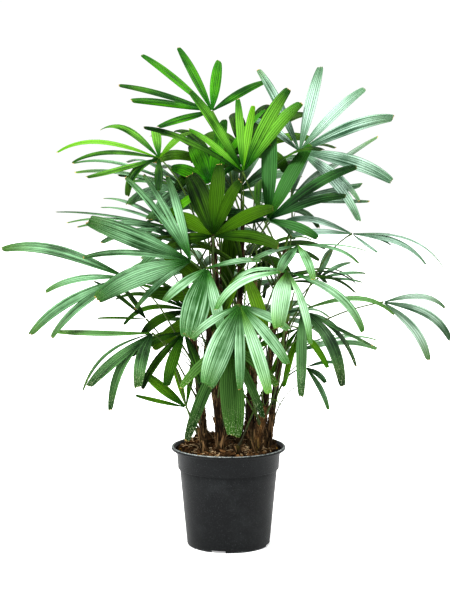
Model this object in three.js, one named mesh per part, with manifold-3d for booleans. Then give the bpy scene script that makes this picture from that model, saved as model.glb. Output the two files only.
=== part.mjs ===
// Lady palm (Rhapis excelsa) in a black nursery pot, millimetres, +Z up.
// The pot's axis is the Z axis and its underside lies on z = 0; -Y is the front.
// Slender canes rise from the soil. Each carries fronds: a thin leaf stalk that ends in a hand of
// pleated leaflets. Every cane and every frond is a solid of its own.
import * as THREE from "three";
import { mergeVertices } from "three/addons/utils/BufferGeometryUtils.js";
import Module from "manifold-3d";

const wasm = await Module();
wasm.setup();

// Clearance between neighbouring solids.
const GAP = 0.3;

// The pot: a moulded 24 cm container.
const POT = {
  height: 210,
  rimRadius: 120,
  lipHeight: 7.5,
  lipWidth: 11,
  collarTop: 109,
  collarBottom: 106,
  collarHeight: 46,
  bodyTop: 102.5,
  bodyBottom: 87,
  edgeRound: 4,
  wall: 2.4,
  footHeight: 5,
  footWidth: 7,
  bossRadius: 14,
  notchWidth: 31,
  notchTurn: -14.5,
  drainRadius: 5,
  drainPlace: 60,
  drainCut: 30,
  segments: 32,
};

// The soil: flat where the canes stand, lower at the wall.
const SOIL = { top: 198, flatRadius: 88, edgeDrop: 4 };

// The canes. foot: where it leaves the soil; top: its tip; radius at the foot and at the tip.
const CANES = [
  { name: "cane_front_left", foot: [-48, -20], top: [-80, -34, 470], radius: [7.5, 5.5] },
  { name: "cane_front_mid_left", foot: [-16, -46], top: [-46, -72, 500], radius: [9, 6] },
  { name: "cane_mid_left", foot: [-16, 6], top: [-34, 4, 660], radius: [8.5, 6] },
  { name: "cane_centre", foot: [23, 0], top: [30, -4, 690], radius: [8.5, 6] },
  { name: "cane_front_right", foot: [56, -52], top: [74, -66, 306], radius: [10.5, 9] },
  { name: "cane_right_inner", foot: [50, -12], top: [56, -34, 560], radius: [10, 6.5] },
  { name: "cane_right", foot: [82, -8], top: [122, -26, 480], radius: [7.5, 5.5] },
  { name: "cane_right_back", foot: [70, 34], top: [118, 44, 620], radius: [8.5, 6] },
  { name: "cane_front_stub", foot: [18, -76], top: [18, -78, 226], radius: [8, 7] },
  { name: "cane_left_stub", foot: [-46, -64], top: [-64, -72, 262], radius: [5.5, 4.5] },
  { name: "cane_left_back", foot: [-50, 40], top: [-96, 66, 580], radius: [8.5, 6] },
  { name: "cane_back", foot: [-8, 66], top: [-14, 112, 600], radius: [9, 6] },
  { name: "cane_back_right", foot: [40, 74], top: [66, 126, 540], radius: [8, 5.5] },
];
const CANE = { sides: 7, steps: 3, bow: 0.05 };

// Leaf stalks: usual length and rise, radius where they leave the cane and at the hand of leaflets,
// the lowest share of a cane that bears them, the spacing of their places on it and the small step by
// which they are brought to rest on it. bend is how far the curve keeps its end directions, as a share
// of its span: startUp and startAhead set the first of them, endFan the last. The costs weigh a poor
// rise and a far cane against a length that is off.
const STALK = {
  length: 230,
  rise: 0.8,
  foot: 3.4,
  tip: 2.4,
  steps: 8,
  lowest: 0.35,
  spacing: 0.05,
  slide: 0.1,
  bend: 0.36,
  startUp: 1.5,
  startAhead: 0.8,
  endFan: 0.9,
  riseCost: 130,
  levelCost: 0.15,
};

// Leaflets. Each midrib is walked in fine steps; the solid keeps the stations listed here. widths are
// shares of the leaflet's full width at those stations, root is the width where it enters the hand's
// knob, and thick is the depth of the midrib's keel as a share of the length.
const LEAFLET = {
  steps: 12,
  stations: [0, 3, 7, 10, 12],
  widths: [0, 0.7, 1, 0.84, 0.4],
  root: 2.6,
  thick: 0.011,
  leastThick: 2.2,
  start: 3.5,
};
const KNOB_RADIUS = 11;

// Leaflets keep this far from the limbs and from other fronds.
const CLEAR = 1;

// Fronds that make the crown's front and outline. hub: where the leaflets meet; face: the compass
// bearing (0 = front, 90 = right) and height in degrees of the side that the hand turns to the light;
// droop: how far a level leaflet bends down by its tip; leaves: for each leaflet its angle in the hand
// from the upward line, its length, its width and, where it differs, its own droop.
const FRONDS = [
  {
    name: "top_left", hub: [-34, 20, 907], face: [30, 50], droop: 15, tone: "bright",
    leaves: [
      [-21, 212, 23], [5, 225, 25], [28, 205, 24], [57, 222, 21], [-59, 198, 19],
      [-72, 172, 20], [-103, 145, 22], [-140, 140, 28],
    ],
  },
  {
    name: "top_centre", hub: [29, -60, 785], face: [15, 20], droop: 30, tone: "bright",
    leaves: [
      [-24, 200, 22], [2, 160, 18], [13, 150, 18], [29, 220, 27], [42, 210, 27],
      [-56, 220, 13], [-42, 140, 14], [-69, 170, 14],
    ],
  },
  {
    name: "top_right", hub: [147, 30, 824], face: [-30, 10], droop: 30, tone: "pale",
    leaves: [
      [-30, 210, 20], [8, 180, 26], [40, 190, 23], [63, 220, 26],
      [97, 221, 28], [115, 175, 14, 42], [123, 205, 20, 54], [-54, 140, 16],
    ],
  },
  {
    name: "right_back", hub: [130, 90, 719], face: [-45, 30], droop: 60, tone: "mid",
    leaves: [[43, 232, 20, 16], [28, 130, 16], [76, 185, 20, 0], [88, 215, 12, 0], [-5, 170, 22]],
  },
  {
    name: "mid_up", hub: [-38, -40, 760], face: [-30, 40], droop: 30, tone: "bright",
    leaves: [
      [10, 220, 18], [-12, 190, 30], [-36, 150, 36], [-62, 130, 28], [32, 150, 20],
      [-100, 160, 24], [-142, 130, 24],
    ],
  },
  {
    name: "left_up", hub: [-142, -20, 812], face: [15, 50], droop: 60, tone: "bright",
    leaves: [
      [6, 136, 20], [37, 138, 16, 39], [-25, 194, 20, 74], [-58, 226, 15, 64], [-74, 182, 16, 49],
      [-109, 168, 15, 0], [-119, 125, 18, 105], [-169, 95, 18, 6],
    ],
  },
  {
    name: "left_pale", hub: [-93, 40, 747], face: [45, 60], droop: 60, tone: "pale",
    leaves: [
      [-34, 244, 16, 46], [-53, 232, 16, 32], [-50, 140, 18, 27], [-82, 150, 28], [-110, 130, 26],
      [2, 200, 20], [25, 180, 22],
    ],
  },
  {
    name: "centre", hub: [-31, -110, 659], face: [-30, 15], droop: 40, tone: "dark",
    leaves: [
      [-27, 150, 46], [-4, 150, 34], [16, 125, 30], [-62, 115, 30], [54, 140, 30],
      [-95, 120, 26], [85, 150, 26],
    ],
  },
  {
    name: "left_big", hub: [-75, -120, 610], face: [30, 30], droop: 30, tone: "mid",
    leaves: [
      [-61, 228, 43, 9], [-99, 230, 42], [-76, 230, 14], [-21, 220, 16], [-11, 210, 16],
      [2, 200, 20], [-116, 170, 12],
    ],
  },
  {
    name: "left_back", hub: [-111, 20, 665], face: [45, 70], droop: 30, tone: "mid",
    leaves: [
      [-50, 248, 16, 16], [-53, 226, 12, 30], [-61, 208, 12, 27], [4, 250, 20], [-14, 190, 20],
      [-84, 190, 20],
    ],
  },
  {
    name: "left_low", hub: [-209, -60, 571], face: [15, 40], droop: 45, tone: "mid",
    leaves: [[-58, 270, 28], [-110, 240, 21], [-119, 210, 17], [-86, 170, 16]],
  },
  {
    name: "low_left", hub: [-155, -90, 460], face: [15, 65], droop: 60, tone: "dark",
    leaves: [
      [-84, 200, 20, 0], [-114, 206, 9, 90], [-132, 217, 24, 22], [-135, 214, 18, 130],
      [-153, 148, 26, 110],
    ],
  },
  {
    name: "front_centre", hub: [22, -200, 531], face: [10, 25], droop: 30, tone: "pale",
    leaves: [
      [-116, 120, 16], [-152, 180, 50], [-176, 170, 22], [164, 185, 27], [140, 150, 24],
      [112, 110, 20],
    ],
  },
  {
    name: "front_low", hub: [-1, -190, 456], face: [0, 15], droop: 30, tone: "dark",
    leaves: [[-154, 210, 24], [176, 190, 48], [152, 165, 18], [126, 130, 20], [-128, 130, 20]],
  },
  {
    name: "right_front", hub: [116, -190, 597], face: [20, 60], droop: 90, tone: "pale",
    leaves: [[-94, 180, 21], [-152, 150, 38], [180, 180, 18], [128, 200, 22], [-70, 120, 14]],
  },
  {
    name: "right_up_front", hub: [139, -120, 642], face: [0, 80], droop: 30, tone: "mid",
    leaves: [[-162, 140, 22], [172, 170, 20], [91, 132, 19, 65], [82, 150, 12], [-120, 110, 18]],
  },
  {
    name: "right_flat", hub: [255, 0, 655], face: [30, 55], droop: 60, tone: "pale",
    leaves: [
      [93, 254, 10, 68], [99, 199, 25, 67], [155, 68, 12, 0], [102, 94, 14, 38], [-76, 135, 20, 30],
      [-40, 150, 22],
    ],
  },
  {
    name: "right_low", hub: [323, 20, 510], face: [0, 40], droop: 90, tone: "pale",
    leaves: [[72, 144, 15, 76], [100, 170, 20], [132, 160, 20]],
  },
  {
    name: "right_low_mid", hub: [148, -100, 509], face: [-30, 60], droop: 80, tone: "dark",
    leaves: [
      [52, 200, 18], [125, 218, 26, 115], [156, 225, 22], [114, 195, 10], [116, 218, 9, 0],
      [-85, 125, 22], [-112, 140, 22],
    ],
  },
  {
    name: "right_mid", hub: [189, 60, 556], face: [30, 60], droop: 20, tone: "mid",
    leaves: [[40, 160, 16], [60, 140, 12], [78, 140, 12], [94, 110, 12]],
  },
  {
    name: "centre_right", hub: [80, -70, 689], face: [-15, 20], droop: 35, tone: "dark",
    leaves: [
      [-76, 120, 18], [-94, 130, 18], [-4, 220, 33], [20, 180, 33], [48, 210, 22],
      [62, 165, 18], [100, 110, 20],
    ],
  },
  {
    name: "low_bright", hub: [-90, 60, 280], face: [0, 50], droop: 30, tone: "lime", stalk: 90,
    leaves: [[-73, 112, 12, 0], [-43, 132, 26, 0], [-12, 140, 14], [6, 200, 14]],
  },
  {
    name: "hang_centre", hub: [-43, -150, 599], face: [0, 20], droop: 30, tone: "pale",
    leaves: [[-164, 150, 54], [166, 130, 24], [74, 110, 12], [-122, 110, 20]],
  },
  {
    name: "low_mid_left", hub: [-91, -60, 458], face: [0, 40], droop: 60, tone: "dark",
    leaves: [[-112, 120, 16], [-160, 125, 24], [-138, 150, 17], [158, 130, 20]],
  },
  {
    name: "left_mid_back", hub: [-173, 40, 472], face: [30, 60], droop: 20, tone: "dark",
    leaves: [[-16, 170, 14], [-78, 106, 9, 10], [2, 130, 16]],
  },
  {
    name: "lime_centre", hub: [29, -60, 590], face: [0, 40], droop: 60, tone: "lime",
    leaves: [
      [-38, 150, 12], [-52, 230, 12], [-10, 140, 14], [26, 130, 14], [-162, 150, 26], [160, 160, 28],
    ],
  },
  {
    name: "inner_right", hub: [148, 20, 455], face: [-20, 30], droop: 40, tone: "lime",
    leaves: [[-168, 130, 14], [-152, 115, 13], [132, 110, 14], [168, 140, 14], [-106, 110, 14]],
  },
  {
    name: "right_low_back", hub: [165, 80, 363], face: [-20, 50], droop: 60, tone: "mid", stalk: 150,
    leaves: [[114, 60, 14], [138, 120, 12], [60, 75, 12]],
  },
  {
    name: "inner_back", hub: [-6, 36, 505], face: [0, 5], droop: 25, tone: "dark", stalk: 90,
    leaves: [
      [-150, 190, 34], [-116, 180, 32], [-76, 170, 30], [-36, 185, 32], [4, 190, 32],
      [42, 180, 30], [150, 185, 32], [-178, 185, 34],
    ],
  },
];

// Fronds at the back and sides grow by a rule: they wind round the clump by the golden angle's share
// of the back arc, the upper ones nearer the axis and steeper.
const BACK = {
  seed: 41,
  count: 16,
  arc: [98, 262],
  low: 385,
  high: 830,
  reachLow: 250,
  reachHigh: 110,
  leaflets: [6, 8],
  spread: 165,
  length: [165, 210],
  width: [16, 30],
  squash: 0.5,
  taper: 0.9,
};

const COLOURS = { pot: 0x2b2d2e, soil: 0x4a3424, cane: 0x6b5334 };
const TONES = {
  mid: 0x2f7a35,
  bright: 0x4a9a2e,
  pale: 0x6fa37c,
  dark: 0x1f5a2c,
  lime: 0x8ec63a,
};
const RAD = Math.PI / 180;
const UP = new THREE.Vector3(0, 0, 1);

const plant = new THREE.Group();

// ---- Helpers ----

// Seeded numbers from 0 to 1, the same on every run.
function seeded(seed) {
  let state = seed >>> 0;
  return () => {
    state = (state + 0x6d2b79f5) >>> 0;
    let t = Math.imul(state ^ (state >>> 15), state | 1);
    t = (t + Math.imul(t ^ (t >>> 7), t | 61)) ^ t;
    return ((t ^ (t >>> 14)) >>> 0) / 4294967296;
  };
}

const vector = (list) => new THREE.Vector3(...list);

// Moves start by a distance along each of the directions given, [direction, distance] in turn.
function offset(start, ...steps) {
  const point = start.clone();
  for (const [direction, distance] of steps) point.addScaledVector(direction, distance);
  return point;
}

function positionsOnly(geometry) {
  const bare = geometry.clone();
  for (const name of Object.keys(bare.attributes)) {
    if (name !== "position") bare.deleteAttribute(name);
  }
  return mergeVertices(bare, 1e-4);
}

function toSolid(geometry) {
  const bare = positionsOnly(geometry);
  const vertProperties = new Float32Array(bare.attributes.position.array);
  const triVerts = new Uint32Array(bare.index.array);
  return new wasm.Manifold(new wasm.Mesh({ numProp: 3, vertProperties, triVerts }));
}

function toGeometry(solid) {
  const mesh = solid.getMesh();
  const geometry = new THREE.BufferGeometry();
  geometry.setAttribute("position", new THREE.BufferAttribute(mesh.vertProperties, 3));
  geometry.setIndex(new THREE.BufferAttribute(mesh.triVerts, 1));
  const faceted = geometry.toNonIndexed();
  faceted.computeVertexNormals();
  return faceted;
}

function addPart(name, geometry, color, roughness) {
  const material = new THREE.MeshStandardMaterial({ color, roughness, metalness: 0 });
  const mesh = new THREE.Mesh(geometry, material);
  mesh.name = name;
  plant.add(mesh);
}

// A closed limb: a capped cylinder whose rings are moved on to the given rings. ring(k) gives the
// centre of ring k, its two cross directions and the section's points as [side, depth] pairs.
function loft(rings) {
  const sides = rings[0].section.length;
  const steps = rings.length - 1;
  const geometry = positionsOnly(new THREE.CylinderGeometry(1, 1, 1, sides, steps));
  const at = geometry.attributes.position;
  for (let i = 0; i < at.count; i += 1) {
    const ring = rings[Math.round((at.getY(i) + 0.5) * steps)];
    const turn = Math.atan2(at.getX(i), at.getZ(i));
    const corner = Math.round(((turn / (2 * Math.PI) + 1) % 1) * sides) % sides;
    const onAxis = Math.hypot(at.getX(i), at.getZ(i)) < 0.5;
    const [side, depth] = onAxis ? middle(ring.section) : ring.section[corner];
    const point = offset(ring.centre, [ring.side, side], [ring.depth, depth]);
    at.setXYZ(i, point.x, point.y, point.z);
  }
  return geometry;
}

function middle(section) {
  const sum = section.reduce(([a, b], [c, d]) => [a + c, b + d], [0, 0]);
  return sum.map((value) => value / section.length);
}

function circle(radius, sides, grow = 0) {
  const points = [];
  for (let k = 0; k < sides; k += 1) {
    const turn = (2 * Math.PI * k) / sides;
    points.push([(radius + grow) * Math.sin(turn), (radius + grow) * Math.cos(turn)]);
  }
  return points;
}

// ---- Pot and soil ----

function potProfile() {
  const { height, wall, lipHeight, lipWidth } = POT;
  const collarFoot = height - POT.collarHeight;
  const lipFoot = height - lipHeight;
  const r = POT.edgeRound;
  const points = [
    [0, 0],
    [POT.bossRadius, 0],
    [POT.bossRadius, POT.footHeight],
    [POT.bodyBottom - POT.footWidth, POT.footHeight],
    [POT.bodyBottom - POT.footWidth, 0],
    [POT.bodyBottom - r, 0],
  ];
  for (const turn of [30, 60, 90]) {
    const reach = POT.bodyBottom - r + r * Math.sin(turn * RAD);
    points.push([reach, r - r * Math.cos(turn * RAD)]);
  }
  points.push(
    [POT.bodyTop, collarFoot - 2],
    [POT.collarBottom, collarFoot],
    [POT.collarTop, lipFoot],
    [POT.rimRadius - 1, lipFoot],
    [POT.rimRadius, lipFoot + 1.5],
    [POT.rimRadius - 1, height - 1.5],
    [POT.rimRadius - 4, height],
    [POT.collarTop + 1, height],
    [POT.rimRadius - lipWidth - wall, height - 2.5],
  );
  points.push(...wallInside().reverse());
  points.push([0, POT.footHeight + wall]);
  return points.map(([x, y]) => new THREE.Vector2(x, y));
}

// The pot's inner wall from its floor up to just under the lip.
function wallInside() {
  const collarFoot = POT.height - POT.collarHeight;
  return [
    [POT.bodyBottom - POT.wall - 1, POT.footHeight + POT.wall],
    [POT.bodyTop - POT.wall, collarFoot - 2],
    [POT.collarBottom - POT.wall, collarFoot + 2],
  ];
}

// A lathe turns about Y; the object stands along Z.
function turned(profile) {
  const geometry = new THREE.LatheGeometry(profile, POT.segments);
  return geometry.rotateX(Math.PI / 2);
}

function makePot() {
  let pot = toSolid(turned(potProfile()));
  for (let k = 0; k < 4; k += 1) {
    const bearing = (POT.notchTurn + 90 * k) * RAD;
    const length = POT.footWidth * 3;
    const notch = new THREE.BoxGeometry(POT.notchWidth, length, POT.footHeight * 2);
    const out = POT.bodyBottom - POT.footWidth / 2;
    notch.translate(0, -out, 0);
    notch.rotateZ(bearing);
    pot = pot.subtract(toSolid(notch));
    const drain = new THREE.CylinderGeometry(POT.drainRadius, POT.drainRadius, POT.drainCut, 12);
    drain.rotateX(Math.PI / 2);
    drain.translate(0, -POT.drainPlace, 0);
    drain.rotateZ(bearing);
    pot = pot.subtract(toSolid(drain));
  }
  addPart("pot", toGeometry(pot), COLOURS.pot, 0.55);
}

function makeSoil() {
  const inside = wallInside();
  const [floorEdge, shoulder, collar] = inside;
  const taper = (POT.collarTop - POT.collarBottom) / (POT.collarHeight - POT.lipHeight);
  const edge = SOIL.top - SOIL.edgeDrop;
  const profile = [
    [0, floorEdge[1] + GAP],
    [floorEdge[0] - GAP, floorEdge[1] + GAP],
    [shoulder[0] - GAP, shoulder[1] + GAP],
    [collar[0] - GAP, collar[1] + GAP],
    [collar[0] - GAP + taper * (edge - collar[1]) * 0.4, edge],
    [SOIL.flatRadius, SOIL.top],
    [0, SOIL.top],
  ];
  const points = profile.map(([x, y]) => new THREE.Vector2(x, y));
  addPart("soil", turned(points), COLOURS.soil, 0.95);
}

// ---- Canes ----

// The cane's axis at a share of its height: a slight bow on a straight lean.
function caneAxis(cane, share) {
  const foot = vector([...cane.foot, SOIL.top + GAP]);
  const top = vector(cane.top);
  const bow = CANE.bow * (top.z - foot.z) * share * (1 - share);
  const point = foot.clone().lerp(top, share);
  const lean = Math.hypot(top.x - foot.x, top.y - foot.y);
  point.x += ((foot.x - top.x) / lean) * bow;
  point.y += ((foot.y - top.y) / lean) * bow;
  return point;
}

const caneRadius = (cane, share) => cane.radius[0] + (cane.radius[1] - cane.radius[0]) * share;

// Rings lie level, so the foot is a flat cut on the soil.
function caneRings(cane, grow) {
  const rings = [];
  for (let k = 0; k <= CANE.steps; k += 1) {
    const share = k / CANE.steps;
    rings.push({
      centre: caneAxis(cane, share),
      side: new THREE.Vector3(1, 0, 0),
      depth: new THREE.Vector3(0, -1, 0),
      section: circle(caneRadius(cane, share), CANE.sides, grow),
    });
  }
  return rings;
}

// ---- Growing room: what is already there, as triangles ----

const grown = [];

function bodyOf(owner, geometry) {
  const at = geometry.attributes.position;
  const index = geometry.index;
  const triangles = [];
  const edges = [];
  for (let i = 0; i < index.count; i += 3) {
    const corner = [0, 1, 2].map((k) => new THREE.Vector3().fromBufferAttribute(at, index.getX(i + k)));
    triangles.push(corner);
    for (let k = 0; k < 3; k += 1) {
      if (index.getX(i + k) < index.getX(i + ((k + 1) % 3))) edges.push([corner[k], corner[(k + 1) % 3]]);
    }
  }
  const box = new THREE.Box3().setFromBufferAttribute(at);
  return { owner, triangles, edges, box };
}

// Whether the segment from a to b passes through the triangle.
function pierces([a, b], [p, q, r]) {
  const way = b.clone().sub(a);
  const one = q.clone().sub(p);
  const two = r.clone().sub(p);
  const cross = way.clone().cross(two);
  const facing = one.dot(cross);
  if (Math.abs(facing) < 1e-9) return false;
  const from = a.clone().sub(p);
  const u = from.dot(cross) / facing;
  if (u < 0 || u > 1) return false;
  const other = from.cross(one);
  const v = way.dot(other) / facing;
  if (v < 0 || u + v > 1) return false;
  const t = two.dot(other) / facing;
  return t >= 0 && t <= 1;
}

function meet(one, two) {
  if (!one.box.intersectsBox(two.box)) return false;
  const shared = one.box.clone().intersect(two.box);
  const near = (points) => new THREE.Box3().setFromPoints(points).intersectsBox(shared);
  const oneFaces = one.triangles.filter(near);
  const twoFaces = two.triangles.filter(near);
  const oneEdges = one.edges.filter(near);
  const twoEdges = two.edges.filter(near);
  return (
    oneEdges.some((edge) => twoFaces.some((face) => pierces(edge, face))) ||
    twoEdges.some((edge) => oneFaces.some((face) => pierces(edge, face)))
  );
}

const hasRoom = (body) => !grown.some((other) => other.owner !== body.owner && meet(body, other));

// ---- Fronds ----

// The hand's three directions: n to the light, u upward in the blade and r to its right.
function handFrame([bearing, height]) {
  const [a, h] = [bearing * RAD, height * RAD];
  return {
    n: new THREE.Vector3(Math.cos(h) * Math.sin(a), -Math.cos(h) * Math.cos(a), Math.sin(h)),
    u: new THREE.Vector3(-Math.sin(h) * Math.sin(a), Math.sin(h) * Math.cos(a), Math.cos(h)),
    r: new THREE.Vector3(Math.cos(a), Math.sin(a), 0),
  };
}

function inHand(frame, angle) {
  const a = angle * RAD;
  return offset(new THREE.Vector3(), [frame.u, Math.cos(a)], [frame.r, Math.sin(a)]);
}

// The midrib: a walk of equal steps that bends down by its own weight, most near the tip.
function midrib(start, direction, normal, length, droop) {
  const walk = [];
  const at = start.clone();
  const d = direction.clone();
  const n = normal.clone();
  for (let k = 0; k <= LEAFLET.steps; k += 1) {
    walk.push({ centre: at.clone(), side: d.clone().cross(n), depth: n.clone() });
    const weight = (2 * k + 1) / LEAFLET.steps ** 2;
    const bend = droop * RAD * weight * Math.hypot(d.x, d.y);
    const down = offset(new THREE.Vector3(0, 0, -1), [d, d.z]);
    if (down.length() < 1e-6) down.set(0, 0, 0);
    at.addScaledVector(d, length / LEAFLET.steps);
    const axis = d.clone().cross(down.normalize()).normalize();
    d.applyAxisAngle(axis, bend);
    n.applyAxisAngle(axis, bend);
  }
  return walk;
}

// A leaflet's rings: flat above, with the midrib's keel below.
function leafletRings(walk, length, width, grow) {
  const keel = Math.max(LEAFLET.leastThick, length * LEAFLET.thick);
  return LEAFLET.stations.map((station, k) => {
    const half = Math.max(LEAFLET.widths[k] * width, LEAFLET.root) / 2 + grow;
    const section = [[0, -keel - grow], [-half, grow / 2], [half, grow / 2]];
    return { ...walk[station], section };
  });
}

// The stalk: a smooth curve from the cane's side to the hand, three-sided, one corner to the cane.
function stalkRings({ start, hub, startWay, endWay }, grow, every) {
  const reach = start.distanceTo(hub) * STALK.bend;
  const bend = new THREE.CubicBezierCurve3(
    start,
    offset(start, [startWay, reach]),
    offset(hub, [endWay, -reach]),
    hub,
  );
  const flat = new THREE.Vector3(hub.x - start.x, hub.y - start.y, 0).normalize();
  const level = new THREE.Vector3().crossVectors(flat, UP);
  const rings = [];
  for (let k = 0; k <= STALK.steps; k += every) {
    const share = k / STALK.steps;
    const way = bend.getTangent(share);
    const side = offset(level, [way, -level.dot(way)]).normalize();
    rings.push({
      centre: bend.getPoint(share),
      side,
      depth: side.clone().cross(way),
      section: circle(STALK.foot + (STALK.tip - STALK.foot) * share, 3, grow),
    });
  }
  return rings;
}

// A stalk that leaves the cane's side at that height for the hub.
function stalkFrom(cane, share, hub, midline) {
  const axis = caneAxis(cane, share);
  const out = new THREE.Vector3(hub.x - axis.x, hub.y - axis.y, 0);
  const level = out.length();
  out.normalize();
  const start = offset(axis, [out, caneRadius(cane, share) + GAP + STALK.foot]);
  const way = hub.clone().sub(start).normalize();
  const startWay = offset(out, [UP, STALK.startUp], [way, STALK.startAhead]).normalize();
  const endWay = offset(way, [midline, STALK.endFan]).normalize();
  return { cane: cane.name, start, hub, out, startWay, endWay, level };
}

// Brings the stalk's foot to its cane by small steps, as near as leaves GAP between them.
function restOnCane(stalk) {
  const cane = grown.find(({ owner }) => owner === stalk.cane);
  let rested = stalk;
  for (let slide = STALK.slide; slide < STALK.foot; slide += STALK.slide) {
    const moved = { ...stalk, start: offset(stalk.start, [stalk.out, -slide]) };
    if (meet(bodyOf("stalk", loft(stalkRings(moved, GAP / 2, 2))), cane)) break;
    rested = moved;
  }
  return rested;
}

// Looks for the best free place on a cane for the frond's stalk: one that makes the stalk about its
// usual length and rises into the hand without a sharp turn.
function seatStalk(frond) {
  const hub = vector(frond.hub);
  const choices = [];
  for (const cane of CANES) {
    for (let share = 1; share > STALK.lowest; share -= STALK.spacing) {
      const stalk = stalkFrom(cane, share, hub, frond.midline);
      const length = stalk.start.distanceTo(hub);
      const rise = (hub.z - stalk.start.z) / length;
      const misfit = Math.abs(length - (frond.stalk ?? STALK.length));
      const slope = Math.abs(rise - STALK.rise);
      stalk.cost = misfit + STALK.riseCost * slope + STALK.levelCost * stalk.level;
      choices.push(stalk);
    }
  }
  choices.sort((a, b) => a.cost - b.cost);
  for (const choice of choices) {
    const stalk = restOnCane(choice);
    const body = bodyOf(frond.name, loft(stalkRings(stalk, GAP / 2, 1)));
    if (!hasRoom(body)) continue;
    grown.push(body);
    return stalk;
  }
  throw new Error(`${frond.name} finds no seat`);
}

// Tries a leaflet as it is meant, then swung, lifted, lowered or cut shorter, until it has room.
const TRIES = [
  [0, 1, 1], [4, 1, 1], [-4, 1, 1], [0, 0.7, 1], [0, 1.35, 1], [7, 0.8, 1], [-7, 0.8, 1],
  [5, 1.5, 0.94], [-5, 1.5, 0.94], [10, 1, 0.9], [-10, 1, 0.9], [0, 0.4, 0.85], [0, 1.8, 0.8],
  [0, 1, 0.7], [12, 0.6, 0.7], [-12, 0.6, 0.7],
];

function placeLeaflet(frond, [angle, length, width, droop = frond.droop]) {
  const hub = vector(frond.hub);
  const { frame } = frond;
  for (const [swing, sag, cut] of TRIES) {
    const way = inHand(frame, angle + swing);
    const start = offset(hub, [way, LEAFLET.start]);
    const walk = midrib(start, way, frame.n, length * cut, droop * sag);
    const body = bodyOf(frond.name, loft(leafletRings(walk, length * cut, width, CLEAR)));
    if (!hasRoom(body)) continue;
    grown.push(body);
    return leafletRings(walk, length * cut, width, 0);
  }
  return null;
}

function backFronds() {
  const random = seeded(BACK.seed);
  const between = ([low, high]) => low + (high - low) * random();
  const fronds = [];
  for (let k = 0; k < BACK.count; k += 1) {
    const height = (k + 0.5) / BACK.count;
    const turn = (k * 0.618034) % 1;
    const bearing = BACK.arc[0] + (BACK.arc[1] - BACK.arc[0]) * turn;
    const reach = BACK.reachLow + (BACK.reachHigh - BACK.reachLow) * height + between([-25, 25]);
    const out = bearing * RAD;
    const count = Math.round(between(BACK.leaflets));
    const length = between(BACK.length);
    const width = between(BACK.width);
    const leaves = [];
    for (let j = 0; j < count; j += 1) {
      const share = j / (count - 1) - 0.5;
      const angle = share * BACK.spread + between([-5, 5]);
      const size = 1 - BACK.taper * share * share + between([-0.06, 0.06]);
      leaves.push([angle, length * size, width * (0.75 + 0.5 * random())]);
    }
    fronds.push({
      name: `back_${String(k + 1).padStart(2, "0")}`,
      hub: [
        reach * Math.sin(out) * BACK.squash,
        -reach * Math.cos(out),
        BACK.low + (BACK.high - BACK.low) * height,
      ],
      face: [bearing + 180 + between([-25, 25]), 72 - 30 * height + between([-8, 8])],
      droop: between([50, 85]),
      tone: ["mid", "dark", "mid", "pale"][Math.floor(random() * 4)],
      leaves,
    });
  }
  return fronds;
}

const knobAt = ([x, y, z]) => positionsOnly(new THREE.OctahedronGeometry(KNOB_RADIUS).translate(x, y, z));

// The knobs' places are kept free and all stalks are seated, then the leaflets of the front fronds
// grow, then those of the back ones.
function growFronds() {
  const back = backFronds();
  const fronds = [...FRONDS, ...back];
  for (const frond of fronds) grown.push(bodyOf(frond.name, knobAt(frond.hub)));
  for (const frond of fronds) {
    frond.frame = handFrame(frond.face);
    const angles = frond.leaves.map(([angle]) => inHand(frond.frame, angle));
    frond.midline = angles.reduce((sum, way) => sum.add(way), new THREE.Vector3()).normalize();
    frond.seat = seatStalk(frond);
    frond.blades = [];
  }
  for (const group of [FRONDS, back]) {
    const most = Math.max(...group.map((frond) => frond.leaves.length));
    for (let k = 0; k < most; k += 1) {
      for (const frond of group.filter(({ leaves }) => k < leaves.length)) {
        const rings = placeLeaflet(frond, frond.leaves[k]);
        if (rings) frond.blades.push(rings);
      }
    }
  }
  return fronds;
}

function makeFrond(frond) {
  let solid = toSolid(loft(stalkRings(frond.seat, 0, 2)));
  solid = solid.add(toSolid(knobAt(frond.hub)));
  for (const rings of frond.blades) solid = solid.add(toSolid(loft(rings)));
  addPart(`frond_${frond.name}`, toGeometry(solid), TONES[frond.tone], 0.5);
}

makePot();
makeSoil();
for (const cane of CANES) {
  grown.push(bodyOf(cane.name, loft(caneRings(cane, GAP / 2))));
  addPart(cane.name, loft(caneRings(cane, 0)), COLOURS.cane, 0.9);
}
growFronds().forEach(makeFrond);

export default plant;
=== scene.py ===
# Lady palm (Rhapis excelsa) in a black nursery pot: the finished look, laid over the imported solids.
import math
from dataclasses import dataclass, field

import bpy
import mathutils
import numpy as np
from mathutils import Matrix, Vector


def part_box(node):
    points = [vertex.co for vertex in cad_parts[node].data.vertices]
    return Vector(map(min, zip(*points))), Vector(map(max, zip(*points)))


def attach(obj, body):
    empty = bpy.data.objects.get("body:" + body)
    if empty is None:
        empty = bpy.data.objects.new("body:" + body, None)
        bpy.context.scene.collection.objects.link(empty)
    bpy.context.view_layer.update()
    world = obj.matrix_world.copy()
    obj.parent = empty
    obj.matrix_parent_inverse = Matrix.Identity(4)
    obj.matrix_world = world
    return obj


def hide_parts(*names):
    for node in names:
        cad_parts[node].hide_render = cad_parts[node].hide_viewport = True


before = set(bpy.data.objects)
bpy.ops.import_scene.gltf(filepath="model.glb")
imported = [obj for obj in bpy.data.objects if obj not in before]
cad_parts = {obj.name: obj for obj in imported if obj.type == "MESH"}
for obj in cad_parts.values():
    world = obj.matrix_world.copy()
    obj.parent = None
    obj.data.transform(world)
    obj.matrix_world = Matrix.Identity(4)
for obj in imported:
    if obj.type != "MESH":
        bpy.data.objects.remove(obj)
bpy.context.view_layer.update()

MM = 0.001
RAD = math.pi / 180
UP = np.array([0.0, 0.0, 1.0])
NEARLY_UP = UP + (0.01, 0.02, 0)
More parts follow.
